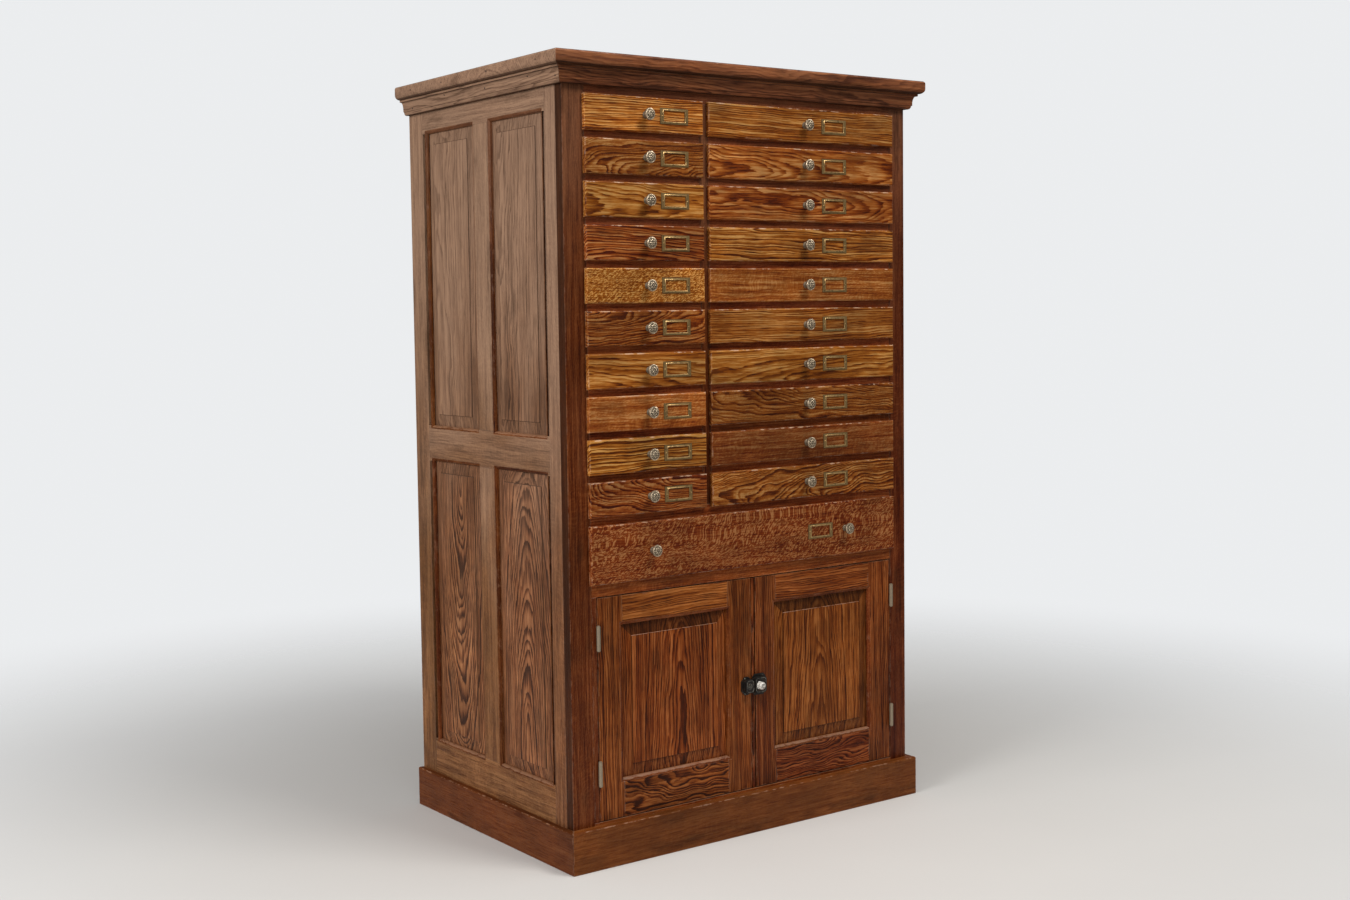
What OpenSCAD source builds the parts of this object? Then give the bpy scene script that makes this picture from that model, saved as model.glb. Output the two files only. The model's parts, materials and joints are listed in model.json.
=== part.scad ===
// Apothecary cabinet: a panelled oak carcass with two columns of small drawers, one wide drawer and
// a two-door cupboard, under a moulded cornice and on a plain plinth.
// Millimetres, +Z up. The origin is on the floor, in the middle of the cornice seen from above.
// The front faces -Y. Inside the modules X runs from the carcass's left face and Y from its front.

/* [Carcass] */
// Width across the sides of the carcass
body_w = 950; // [900:5:1050]
// Depth of the carcass, front frame included
body_d = 632; // [600:2:700]
// Thickness of the side frames
side_t = 22; // [20:1:24]
// Thickness of the front frame
frame_t = 24; // [20:1:26]
// Thickness of the back boards
back_t = 12; // [9:1:14]
// Number of upright boards in the back
back_boards_count = 7; // [5:1:9]

/* [Cornice] */
// Thickness of the top slab
slab_t = 29; // [24:1:34]
// Overhang of the slab at the front and sides
slab_over = 36; // [36:1:44]
// Height of the moulding under the slab
mould_h = 34; // [32:1:40]
// Projection of the moulding under the slab
mould_over = 24; // [22:1:26]

/* [Small drawers] */
// Number of rows of small drawers
rows = 10; // [6:1:10]
// Height of a small drawer front
small_h = 72.6; // [68:0.2:78]
// Strip of front frame that shows between two rows
row_gap = 15; // [14:0.5:18]
// Strip of front frame that shows above the top row
frieze_gap = 16.6; // [14:0.2:22]
// Left edge of the left column of fronts
left_front_x = 48.5; // [46:0.5:52]
// Width of a front in the left column
left_front_w = 304.5; // [290:0.5:320]
// Strip of front frame that shows between the columns
column_gap = 14; // [14:0.5:18]
// Width of a front in the right column
right_front_w = 540; // [520:1:545]

/* [Drawer construction] */
// How far a front laps over the frame all round its opening
lap = 5; // [4:0.5:6]
// Thickness of a drawer front
front_t = 9.6; // [8:0.2:10]
// Radius on the edges of a drawer front
front_r = 4; // [2:0.5:5]
// Length of the drawer boxes behind the front frame's face
drawer_l = 590; // [540:5:592]
// Thickness of the drawer sides and backs
box_t = 9; // [8:0.5:10]
// Thickness of the drawer bottoms
bottom_t = 5; // [4:0.5:6]

/* [Wide drawer] */
// Height of the wide drawer's front
wide_h = 122.6; // [110:0.2:130]
// Strip of front frame between the bottom row and the wide drawer
wide_gap = 17; // [16:0.5:20]
// Distance of each pull from the middle of the wide drawer
wide_pull_x = 273; // [240:1:290]

/* [Pulls and card holders] */
// Diameter of the embossed pulls
pull_d = 23.6; // [20:0.2:26]
// Projection of the pulls from the drawer front
pull_l = 25; // [22:0.5:25.5]
// Width of a card holder
card_w = 73; // [66:1:78]
// Height of a card holder
card_h = 33; // [28:1:36]
// Thickness of a card holder
card_t = 2.4; // [2:0.2:3]
// Distance of the card holder from the pull in the left column
left_card_x = 74; // [60:1:100]
// Distance of the card holder from the pull in the right column
right_card_x = 86; // [60:1:200]
// Distance of the card holder from the middle of the wide drawer
wide_card_x = 198; // [40:1:210]

/* [Cupboard] */
// Height of the door opening above the floor
door_z = 93; // [90:1:100]
// Height of the door opening
door_open_h = 472; // [440:1:480]
// Strip of front frame between the doors and the wide drawer
door_rail_gap = 25.3; // [24:0.1:30]
// Left edge of the door opening
door_open_x = 66; // [64:1:70]
// Width of the door opening
door_open_w = 836; // [820:1:840]
// Width of the left door
left_door_w = 409.6; // [400:0.2:412]
// Thickness of the doors
door_t = 22; // [20:1:24]
// Gap round the doors
door_gap = 1.6; // [1.4:0.1:2]
// Height of the shelf above the cupboard floor
shelf_up = 225; // [180:5:260]

/* [Door frames and raised panels] */
// Width of a door's hinge stile and top rail, to the flat edge
door_rail = 55; // [50:1:60]
// Width of a door's bottom rail, to the flat edge
door_foot = 73; // [66:1:80]
// Width of the right door's stiles, to the flat edge
right_stile = 62; // [56:1:66]
// Width of the moulded edge round each panel
sticking = 8; // [6:0.5:10]
// Width of the bevel round each raised panel
bevel = 26; // [22:1:30]
// Height of the step at the edge of the raised field
field_step = 2; // [1:0.5:3]

/* [Side frames] */
// Front edge of the front opening
side_front_y = 73; // [70:1:80]
// Width of the flat face of the middle stile
side_mid_w = 59; // [54:1:64]
// Width of the back stile
side_back_w = 69; // [64:1:74]
// Bottom of the lower openings
side_low_z = 160; // [150:1:170]
// Bottom edge of the middle rail
side_mid_z = 824; // [780:1:860]
// Height of the middle rail
side_mid_h = 66; // [60:1:72]
// Drop from the cornice to the upper openings
side_top_drop = 40; // [36:1:46]

/* [Plinth] */
// Height of the plinth
plinth_h = 88; // [80:1:90]
// Thickness of the plinth's front board
plinth_front = 21; // [18:1:24]
// Thickness of the plinth's side boards
plinth_side = 15; // [14:1:18]

/* [Hinges] */
// Height of a butt hinge
hinge_h = 51; // [45:1:56]
// Radius of the hinge barrel
barrel_r = 4; // [3.5:0.1:4]
// Height of the lower hinges above the door opening's bottom
hinge_low = 77; // [70:1:100]
// Height of the upper hinges above the door opening's bottom
hinge_high = 361; // [330:1:370]

/* [Latch] */
// Height of the latch above the door opening's bottom
latch_up = 232; // [200:1:260]
// Height of the latch case
case_h = 47; // [42:1:50]
// Width of the latch case
case_w = 36; // [34:1:40]
// Projection of the latch case
case_t = 12; // [12:0.5:13]
// Height of the keeper
keeper_h = 40; // [36:1:44]
// Width of the keeper
keeper_w = 29; // [28:1:32]
// Diameter of the porcelain knob
knob_d = 17; // [15:0.5:20]

/* [Hidden] */
$fn = 48;
eps = 1;
// Gap that keeps neighbouring boards of one node apart
joint = 0.2;
// Clearance between pieces that move past each other
clear = 0.4;

// Heights, from the floor up
door_top = door_z + door_open_h;
wide_z = door_top + door_rail_gap;
pitch = small_h + row_gap;
rows_z = wide_z + wide_h + wide_gap;
rows_top = rows_z + rows * pitch - row_gap;
carcass_h = rows_top + frieze_gap + mould_h;
total_h = carcass_h + slab_t;
mould_z = carcass_h - mould_h;

// Columns
left_col = [left_front_x, left_front_x + left_front_w];
right_col = [left_col[1] + column_gap, left_col[1] + column_gap + right_front_w];
wide_col = [left_col[0], right_col[1]];
inner_x = [side_t + joint, body_w - side_t - joint];
back_y = body_d - back_t;

// Drawer boxes
side_play = 1.6;
box_back_t = 10;
inner_front_t = 12;
bottom_up = 3;
head_room = 4.2;

// Runners, boards and the centre partition
runner_t = 12;
runner_bear = 12;
guide_h = 15;
partition_t = 20;
board_t = 18;
dust_t = 12;
cleat_w = 18;
cleat_h = 24;
shelf_setback = 54;
groove_d = 8;

// Panels, measured in from the face of their frame
tongue_t = 6;
tongue_z = 10;
field_z = 3.6;
bevel_rise = 2.4;

// Hinges
leaf_t = 1.6;
pin_r = 1.6;
knuckles = 5;
knuckle_gap = 0.3;
leaf_off = 0.3;
barrel_y = -(barrel_r + 0.5);
left_axis_x = door_open_x + door_gap / 2;
right_axis_x = door_open_x + door_open_w - door_gap / 2;
hinge_z = [door_z + hinge_low, door_z + hinge_high];
screw_r = 2;

// Doors
door_bottom = door_z + 2;
door_h = door_open_h - 4;
left_door_x = door_open_x + door_gap;
seam = 2;
right_door_x = left_door_x + left_door_w + seam;
right_door_w = door_open_x + door_open_w - door_gap - right_door_x;
left_opening = [door_rail, left_door_w - door_rail - 2, door_foot, door_h - door_rail];
right_opening = [right_stile, right_door_w - right_stile + 2, door_foot, door_h - door_rail];

// Latch
latch_z = door_z + latch_up;
case_x = right_door_x + 0.6;
keeper_x = left_door_x + left_door_w - 0.6 - keeper_w;
cavity_h = 17.4;
bolt_h = 16;
bolt_l = 29;
bolt_y = [-8.4, -2.6];
web_t = 1.3;
latch_screw_r = 1.2;
spindle_x = case_x + 11;
spindle_r = 3;
crank_r = 6;
crank_pin_r = 1.5;
crank_start = 40;
cavity_y = [bolt_y[0] - web_t - 2 * clear, bolt_y[1] + clear];
spindle_end = cavity_y[0] + clear;

// Everything is drawn from the carcass's left front corner and then moved to the origin.
module placed() {
    translate([-body_w / 2, -(body_d - slab_over) / 2, 0])
        children();
}

// A board between two corners.
module board(a, b) {
    translate(a)
        cube(b - a);
}

// Arc from angle a0 to a1 as a list of points.
function arc(c, r, a0, a1, n = 8) =
    [for (i = [0 : n]) c + r * [cos(a0 + (a1 - a0) * i / n), sin(a0 + (a1 - a0) * i / n)]];

// Section of a board whose two front corners are rounded. X is across it, Y is its depth.
function eased_section(w, t, r) = concat(
    [[w, t], [0, t]],
    arc([r, r], r, 180, 270),
    arc([w - r, r], r, 270, 360)
);

// A board w by h by t, front face at y = 0, with all four front edges rounded.
module eased_board(w, h, t, r) {
    intersection() {
        linear_extrude(h)
            polygon(eased_section(w, t, r));
        translate([w, 0, 0])
            rotate([0, -90, 0])
                linear_extrude(w)
                    polygon(eased_section(h, t, r));
    }
}

// Section of a raised panel of width w: field, step, bevel and tongue. Y is measured from the face.
function panel_section(w) = [
    [0, tongue_z + tongue_t],
    [0, tongue_z],
    [groove_d, tongue_z],
    [groove_d + bevel, tongue_z - bevel_rise - field_step],
    [groove_d + bevel, field_z],
    [w - groove_d - bevel, field_z],
    [w - groove_d - bevel, tongue_z - bevel_rise - field_step],
    [w - groove_d, tongue_z],
    [w, tongue_z],
    [w, tongue_z + tongue_t]
];

// A raised panel that fills an opening [x0, x1, z0, z1] of flat edges, face towards -Y.
module raised_panel(o) {
    grow = groove_d - sticking;
    w = o[1] - o[0] + 2 * grow;
    h = o[3] - o[2] + 2 * grow;
    translate([o[0] - grow, 0, o[2] - grow])
        intersection() {
            linear_extrude(h)
                polygon(panel_section(w));
            translate([w, 0, 0])
                rotate([0, -90, 0])
                    linear_extrude(w)
                        polygon(panel_section(h));
        }
}

// Section of the cut that makes the moulded edge round an opening of width w.
function sticking_section(w) = [
    [-eps, -eps],
    [w + eps, -eps],
    [w - sticking, sticking],
    [sticking, sticking]
];

// What an opening takes out of its frame: the through hole, the moulded edge and the panel's groove.
module opening_cut(o, t) {
    w = o[1] - o[0];
    h = o[3] - o[2];
    reach = groove_d - sticking + joint;
    board([o[0] + sticking, -eps, o[2] + sticking], [o[1] - sticking, t + eps, o[3] - sticking]);
    translate([o[0], 0, o[2]])
        intersection() {
            translate([0, 0, -eps])
                linear_extrude(h + 2 * eps)
                    polygon(sticking_section(w));
            translate([w + eps, 0, 0])
                rotate([0, -90, 0])
                    linear_extrude(w + 2 * eps)
                        polygon(sticking_section(h));
        }
    board(
        [o[0] - reach, tongue_z - joint, o[2] - reach],
        [o[1] + reach, tongue_z + tongue_t + joint, o[3] + reach]
    );
}

// A frame w by h round one opening: two full-height stiles and two rails between them.
module framed(w, h, t, o) {
    difference() {
        union() {
            board([0, 0, 0], [o[0] + sticking - joint / 2, t, h]);
            board([o[1] - sticking + joint / 2, 0, 0], [w, t, h]);
            board([o[0] + sticking + joint / 2, 0, 0], [o[1] - sticking - joint / 2, t, o[2] + sticking]);
            board([o[0] + sticking + joint / 2, 0, o[3] - sticking], [o[1] - sticking - joint / 2, t, h]);
        }
        opening_cut(o, t);
    }
}

// Openings of one side, [y0, y1, z0, z1], with the carcass's front at y = 0.
function side_openings() = let (
    mid_y = (side_front_y + body_d - side_back_w) / 2,
    y = [[side_front_y, mid_y - side_mid_w / 2], [mid_y + side_mid_w / 2, body_d - side_back_w]],
    z = [[side_low_z, side_mid_z], [side_mid_z + side_mid_h, mould_z - side_top_drop]]
) [for (a = y, b = z) [a[0], a[1], b[0], b[1]]];

// Both sides of the carcass, from a child drawn facing -Y with its X as the depth.
module both_sides() {
    mirror([1, -1, 0])
        children();
    translate([body_w, 0, 0])
        rotate([0, 0, 90])
            children();
}

// Stiles and rails of both sides, each board on its own.
module side_frames() {
    start = frame_t + joint;
    o = side_openings();
    back_edge = body_d - side_back_w + sticking;
    front_edge = side_front_y - sticking;
    color("rosybrown") placed() both_sides() difference() {
        union() {
            board([start, 0, 0], [front_edge - joint, side_t, carcass_h - joint]);
            board([back_edge + joint, 0, 0], [body_d, side_t, carcass_h - joint]);
            board([front_edge, 0, 0], [back_edge, side_t, side_low_z + sticking - joint]);
            board(
                [front_edge, 0, side_mid_z - sticking],
                [back_edge, side_t, side_mid_z + side_mid_h + sticking]
            );
            board([front_edge, 0, o[1][3] - sticking + joint], [back_edge, side_t, carcass_h - joint]);
            for (k = [0, 1])
                board(
                    [o[0][1] - sticking, 0, o[k][2] + sticking + joint * k],
                    [o[2][0] + sticking, side_t, o[k][3] - sticking - joint * (1 - k)]
                );
        }
        for (k = o)
            opening_cut(k, side_t);
    }
}

// The eight raised panels of the sides.
module side_panels() {
    color("tan") placed() both_sides()
        for (o = side_openings())
            raised_panel(o);
}

// Bottom of the opening for row i, counted from the top, from 1.
function row_z(i) = rows_z + (rows - i) * pitch;

// The face of the carcass: stiles, rails between the rows, the strip between the columns.
module front_frame() {
    inner = [left_col[0] + lap, right_col[1] - lap];
    rail = [inner[0] + joint, inner[1] - joint];
    strip = [left_col[1] - lap, right_col[0] + lap];
    row_rails = [[rail[0], strip[0] - joint], [strip[1] + joint, rail[1]]];
    color("saddlebrown") placed() difference() {
        union() {
            board([0, 0, 0], [inner[0], frame_t, carcass_h - joint]);
            board([inner[1], 0, 0], [body_w, frame_t, carcass_h - joint]);
            board([rail[0], 0, 0], [rail[1], frame_t, door_z]);
            board([rail[0], 0, door_z + joint], [door_open_x, frame_t, door_top - joint]);
            board([rail[0], 0, door_top], [rail[1], frame_t, wide_z + lap]);
            board([rail[0], 0, wide_z + wide_h - lap], [rail[1], frame_t, rows_z + lap]);
            board([rail[0], 0, rows_top - lap], [rail[1], frame_t, carcass_h - joint]);
            board([strip[0], 0, rows_z + lap + joint], [strip[1], frame_t, rows_top - lap - joint]);
            for (i = [2 : rows], x = row_rails)
                board([x[0], 0, row_z(i) + small_h - lap], [x[1], frame_t, row_z(i) + pitch + lap]);
        }
        for (z = hinge_z) {
            hinge_recess(left_axis_x - leaf_t - leaf_off - joint, z);
            hinge_recess(right_axis_x + leaf_off - joint, z);
        }
    }
}

// Tongued boards that close the back.
module back_boards() {
    step = (inner_x[1] - inner_x[0] + joint) / back_boards_count;
    color("burlywood") placed()
        for (i = [0 : back_boards_count - 1])
            board(
                [inner_x[0] + i * step, back_y, 0],
                [inner_x[0] + (i + 1) * step - joint, body_d, carcass_h - joint]
            );
}

// Runner with its side guide under one side of a drawer, top at height z.
module runner(x0, x1, z, guide) {
    board([x0, frame_t + joint, z - runner_t], [x1, back_y - joint, z]);
    board([guide[0], frame_t + joint, z + joint], [guide[1], back_y - joint, z + guide_h]);
}

// What is inside: centre partition, runners, cupboard floor, ceiling and shelf.
module inner_boards() {
    edge = [left_col[0] + lap, right_col[1] - lap];
    mid = (left_col[1] + right_col[0]) / 2;
    part = [mid - partition_t / 2, mid + partition_t / 2];
    y = [frame_t + joint, back_y - joint];
    shelf = [y[0] + shelf_setback, door_z + shelf_up];
    ceiling_z = wide_z + lap - runner_t - joint;
    dust_z = rows_z + lap - runner_t - joint;
    outer_tops = concat([wide_z + lap], [for (i = [1 : rows]) row_z(i) + lap]);
    color("wheat") placed() {
        board([part[0], y[0], rows_z + lap - runner_t], [part[1], y[1], carcass_h - joint]);
        board([inner_x[0], y[0], door_z - board_t - 1], [inner_x[1], y[1], door_z - 1]);
        board([inner_x[0], shelf[0], shelf[1]], [inner_x[1], y[1], shelf[1] + board_t]);
        board([inner_x[0], y[0], door_top], [inner_x[1], y[1], ceiling_z - joint]);
        board([inner_x[0], y[0], dust_z - dust_t], [inner_x[1], y[1], dust_z]);
        for (x = [inner_x[0], inner_x[1] - cleat_w])
            board([x, shelf[0], shelf[1] - joint - cleat_h], [x + cleat_w, y[1], shelf[1] - joint]);
        for (z = outer_tops) {
            runner(inner_x[0], edge[0] + runner_bear, z, [inner_x[0], edge[0]]);
            runner(edge[1] - runner_bear, inner_x[1], z, [edge[1], inner_x[1]]);
        }
        for (i = [1 : rows]) {
            z = row_z(i) + lap;
            board([left_col[1] - lap - runner_bear, y[0], z - runner_t], [part[0] - joint, y[1], z]);
            board([part[1] + joint, y[0], z - runner_t], [right_col[0] + lap + runner_bear, y[1], z]);
        }
    }
}

// Section of a skirting board of thickness t with an eased top edge. X is its thickness.
function skirt_section(t) = concat(
    [[joint, 0], [t, 0]],
    arc([t - 3, plinth_h - 3], 3, 0, 90, 4),
    [[joint, plinth_h]]
);

// One skirting board along +X, l long and t thick, mitred to meet the next board, which is next thick.
module skirt_run(l, t, next, cut_right) {
    slope = t / next;
    far = 4 * next;
    difference() {
        translate([-next, 0, 0])
            rotate([90, 0, 90])
                linear_extrude(l + (cut_right ? 2 : 1) * next)
                    mirror([1, 0])
                        polygon(skirt_section(t));
        translate([0, 0, -eps])
            linear_extrude(plinth_h + 2 * eps)
                polygon([[joint, eps], [joint, 0], [joint - far, -far * slope], [-far - eps, eps]]);
        if (cut_right)
            translate([l, 0, -eps])
                linear_extrude(plinth_h + 2 * eps)
                    polygon([[-joint, eps], [-joint, 0], [far - joint, -far * slope], [far + eps, eps]]);
    }
}

// Three mitred boards round the foot of the carcass.
module plinth() {
    color("sienna") placed() {
        skirt_run(body_w, plinth_front, plinth_side, true);
        mirror([1, -1, 0])
            skirt_run(body_d, plinth_side, plinth_front, false);
        translate([body_w, 0, 0])
            rotate([0, 0, 90])
                skirt_run(body_d, plinth_side, plinth_front, false);
    }
}

// Section of the moulding: fillet, cove, quirk and ovolo. X is the projection, Y the height.
function mould_section() = let (
    k = mould_over / 24,
    v = mould_h / 34
) concat(
    [[joint, mould_h - joint], [joint, 0], [8 * k, 0]],
    [for (a = [0 : 15 : 90]) [(8 + 5 * sin(a)) * k, (7 - 7 * cos(a)) * v]],
    [[15 * k, 8 * v], [15 * k, 12 * v]],
    [for (a = [0 : 15 : 90]) [(21 - 6 * cos(a)) * k, (12 + 17 * sin(a)) * v]],
    [[24 * k, 29 * v], [24 * k, mould_h - joint]]
);

// Section of the slab's edge: a nose with a tight upper and a full lower curve. X is the projection.
function nose_section(w) = let (
    low = 0.38 * slab_t,
    top = 0.2 * slab_t
) concat(
    arc([low, low], low, 180, 270),
    arc([w - low, low], low, 270, 360),
    arc([w - top, slab_t - top], top, 0, 90),
    arc([top, slab_t - top], top, 90, 180)
);

// One run of moulding along +X from the left mitre to the right one, standing out towards -Y.
module mould_run(l, cut_left, cut_right) {
    reach = mould_over + eps;
    difference() {
        translate([-reach, 0, mould_z])
            rotate([90, 0, 90])
                linear_extrude(l + 2 * reach)
                    mirror([1, 0])
                        polygon(mould_section());
        if (cut_left)
            translate([0, 0, mould_z - eps])
                linear_extrude(mould_h + 2 * eps)
                    polygon([[joint, 0], [-2 * reach, -2 * reach - joint], [-2 * reach, eps], [joint, eps]]);
        if (cut_right)
            translate([l, 0, mould_z - eps])
                linear_extrude(mould_h + 2 * eps)
                    polygon([[-joint, 0], [2 * reach, -2 * reach - joint], [2 * reach, eps], [-joint, eps]]);
        else
            board([l, -2 * reach, mould_z - eps], [l + 2 * reach, eps, carcass_h + eps]);
    }
}

// The top: a slab with a rounded nose on three edges over a mitred moulding.
module cornice() {
    w = body_w + 2 * slab_over;
    long = 2 * body_d;
    color("peru") placed() {
        intersection() {
            translate([-slab_over, body_d, carcass_h])
                rotate([90, 0, 0])
                    linear_extrude(body_d + slab_over)
                        polygon(nose_section(w));
            translate([-slab_over, -slab_over, carcass_h])
                rotate([90, 0, 90])
                    linear_extrude(w)
                        polygon(nose_section(long));
        }
        mould_run(body_w, true, true);
        mirror([1, -1, 0])
            mould_run(body_d, true, false);
        translate([body_w, 0, 0])
            rotate([0, 0, 90])
                mould_run(body_d, true, false);
    }
}

// One drawer: an eased front that laps the opening, on a box. Front from x0 to x1, its foot at z.
module drawer(x, z, h, pulls) {
    outer = [x[0] + lap + side_play, x[1] - lap - side_play];
    inner = [outer[0] + box_t + joint, outer[1] - box_t - joint];
    low = z + lap + clear;
    top = z + h - lap - head_room;
    difference() {
        union() {
            translate([x[0], -front_t - clear, z])
                eased_board(x[1] - x[0], h, front_t, front_r);
            board([inner[0], joint - clear, low], [inner[1], inner_front_t, top]);
            for (s = [outer[0], inner[1] + joint])
                board([s, joint - clear, low], [s + box_t, drawer_l, top]);
            board([inner[0], drawer_l - box_back_t, low], [inner[1], drawer_l, top]);
            board(
                [inner[0], inner_front_t + joint, low + bottom_up],
                [inner[1], drawer_l - box_back_t - joint, low + bottom_up + bottom_t]
            );
        }
        for (p = pulls)
            translate([p, 0, z + h / 2])
                rotate([90, 0, 0])
                    cylinder(r = screw_r + joint, h = 2 * drawer_l / 3, center = true, $fn = 24);
    }
}

// Outline of an embossed pull on its axis, from the drawer front outwards.
function pull_outline() = let (
    r = pull_d / 2
) concat(
    [[0, 0], [0.62 * r, 0], [0.62 * r, 1.4], [0.36 * r, 3.2], [0.34 * r, 0.4 * pull_l]],
    [for (a = [-70 : 10 : 0]) [r * (0.3 + 0.7 * cos(a)), 0.66 * pull_l + 0.2 * pull_l * sin(a)]],
    [for (a = [0 : 10 : 80]) [r * (0.12 + 0.88 * cos(a)), 0.68 * pull_l + 0.3 * pull_l * sin(a)]],
    [[0, 0.98 * pull_l]]
);

// A pull with its screw through the drawer front, axis towards -Y.
module pull() {
    translate([0, -front_t - clear - joint / 2, 0])
        rotate([90, 0, 0])
            rotate_extrude()
                polygon(pull_outline());
    translate([0, inner_front_t + 4, 0])
        rotate([90, 0, 0])
            cylinder(r = screw_r, h = front_t + inner_front_t + 6, $fn = 24);
    translate([0, inner_front_t + joint + 3, 0])
        rotate([90, 0, 0])
            cylinder(r = 2 * screw_r, h = 3, $fn = 6);
}

// A card holder: a flat frame with a window, held by a pin at each end.
module card_holder() {
    y = -front_t - clear - joint / 2;
    flange = 9;
    rail = 5.4;
    pin = card_w / 2 - flange / 2;
    difference() {
        board([-card_w / 2, y - card_t, -card_h / 2], [card_w / 2, y, card_h / 2]);
        board(
            [-card_w / 2 + flange, y - card_t - eps, -card_h / 2 + rail],
            [card_w / 2 - flange, y + eps, card_h / 2 - rail]
        );
    }
    for (s = [-1, 1])
        translate([s * pin, y - card_t + joint, 0])
            rotate([90, 0, 0])
                cylinder(r1 = 2, r2 = 1.2, h = 1.2, $fn = 24);
}

// Drawer number i of the column between the edges x.
module small_drawer(x, i) {
    color("goldenrod") placed()
        drawer(x, row_z(i), small_h, [(x[0] + x[1]) / 2]);
}

// Pull and card holder of drawer number i, the card holder card_x to the right of the pull.
module small_pull(x, i, card_x) {
    color("darkkhaki") placed()
        translate([(x[0] + x[1]) / 2, 0, row_z(i) + small_h / 2]) {
            pull();
            translate([card_x, 0, 0])
                card_holder();
        }
}

module wide_drawer() {
    mid = (wide_col[0] + wide_col[1]) / 2;
    color("chocolate") placed()
        drawer(wide_col, wide_z, wide_h, [mid - wide_pull_x, mid + wide_pull_x]);
}

module wide_drawer_pulls() {
    mid = (wide_col[0] + wide_col[1]) / 2;
    color("darkkhaki") placed()
        translate([mid, 0, wide_z + wide_h / 2]) {
            for (s = [-1, 1])
                translate([s * wide_pull_x, 0, 0])
                    pull();
            translate([wide_card_x, 0, 0])
                card_holder();
        }
}

// Recess for a hinge leaf, from x over the leaf's thickness and its gap.
module hinge_recess(x, z) {
    board([x, -eps, z - joint], [x + leaf_t + leaf_off + 2 * joint, frame_t - 1, z + hinge_h + joint]);
}

module left_door_frame() {
    color("sienna") placed() difference() {
        translate([left_door_x, 0, door_bottom])
            framed(left_door_w, door_h, door_t, left_opening);
        for (z = hinge_z)
            hinge_recess(left_axis_x + leaf_off - joint, z);
    }
}

module left_door_panel() {
    color("chocolate") placed()
        translate([left_door_x, 0, door_bottom])
            raised_panel(left_opening);
}

module right_door_frame() {
    color("sienna") placed() difference() {
        translate([right_door_x, 0, door_bottom])
            framed(right_door_w, door_h, door_t, right_opening);
        for (z = hinge_z)
            hinge_recess(right_axis_x - leaf_t - leaf_off - joint, z);
    }
}

module right_door_panel() {
    color("chocolate") placed()
        translate([right_door_x, 0, door_bottom])
            raised_panel(right_opening);
}

// One leaf with its share of the barrel: knuckles first, first + 2 and so on, drilled for the pin.
// The leaf lies on the +X side of the pin when side is 1, on the -X side when side is -1.
module leaf(side, first, bore) {
    k = hinge_h / knuckles;
    near = side * leaf_off;
    far = near + side * leaf_t;
    screws = [[0.5, 15], [2.5, 20], [4.5, 15]];
    difference() {
        union() {
            for (i = [first : 2 : knuckles - 1])
                translate([0, 0, i * k + knuckle_gap / 2])
                    cylinder(r = barrel_r, h = k - knuckle_gap, $fn = 36);
            difference() {
                board([min(near, far), 0, 0], [max(near, far), frame_t - 2 - barrel_y, hinge_h]);
                for (i = [1 - first : 2 : knuckles - 1])
                    translate([0, 0, i * k - knuckle_gap / 2])
                        cylinder(r = barrel_r + clear, h = k + knuckle_gap, $fn = 36);
            }
        }
        translate([0, 0, -eps])
            cylinder(r = bore, h = hinge_h + 2 * eps, $fn = 36);
        for (p = screws)
            translate([0, p[1], p[0] * k])
                rotate([0, 90, 0])
                    cylinder(r = screw_r, h = 2 * barrel_r, center = true, $fn = 24);
    }
}

// Leaves screwed to the front frame, each with the pin that its barrel turns on.
module hinge_frame_leaves() {
    fixed_bore = pin_r + 0.02;
    color("silver") placed()
        for (z = hinge_z, side = [-1, 1])
            translate([side < 0 ? left_axis_x : right_axis_x, barrel_y, z]) {
                leaf(side, 0, fixed_bore);
                translate([0, 0, -1.5])
                    cylinder(r = pin_r, h = hinge_h + 3, $fn = 36);
                for (end = [-1.5, hinge_h + joint])
                    translate([0, 0, end])
                        cylinder(r = barrel_r - 1, h = 1.5 - joint, $fn = 36);
            }
}

module left_door_hinges() {
    color("silver") placed()
        for (z = hinge_z)
            translate([left_axis_x, barrel_y, z])
                leaf(1, 1, pin_r + 0.08);
}

module right_door_hinges() {
    color("silver") placed()
        for (z = hinge_z)
            translate([right_axis_x, barrel_y, z])
                leaf(-1, 1, pin_r + 0.08);
}

// Outline of a cast plate with clipped corners, w by h, centred on its height.
function plate_outline(w, h, c) = [
    [0, c - h / 2], [c, -h / 2], [w - c, -h / 2], [w, c - h / 2],
    [w, h / 2 - c], [w - c, h / 2], [c, h / 2], [0, h / 2 - c]
];

// The outline above as a casting that stands t out from the doors.
module casting(w, h, c, t) {
    rotate([90, 0, 0])
        linear_extrude(t)
            polygon(plate_outline(w, h, c));
}

// Case on the right door: a flange and a raised box, hollow for the bolt and bored for the spindle.
module latch_case() {
    color("dimgray") placed()
        translate([case_x, -joint, latch_z])
            difference() {
                union() {
                    casting(case_w, case_h, 6, 2.5);
                    casting(case_w - 4, case_h - 12, 4, case_t - joint);
                }
                board([-eps, cavity_y[0], -cavity_h / 2], [case_w - 6, cavity_y[1], cavity_h / 2]);
                translate([spindle_x - case_x, 0, 0])
                    rotate([90, 0, 0])
                        cylinder(r = spindle_r + 0.08, h = 2 * case_t, $fn = 48);
                for (s = [-1, 1])
                    translate([case_w - 8, eps, s * (case_h / 2 - 4)])
                        rotate([90, 0, 0])
                            cylinder(r = latch_screw_r, h = case_t, $fn = 24);
            }
}

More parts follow.
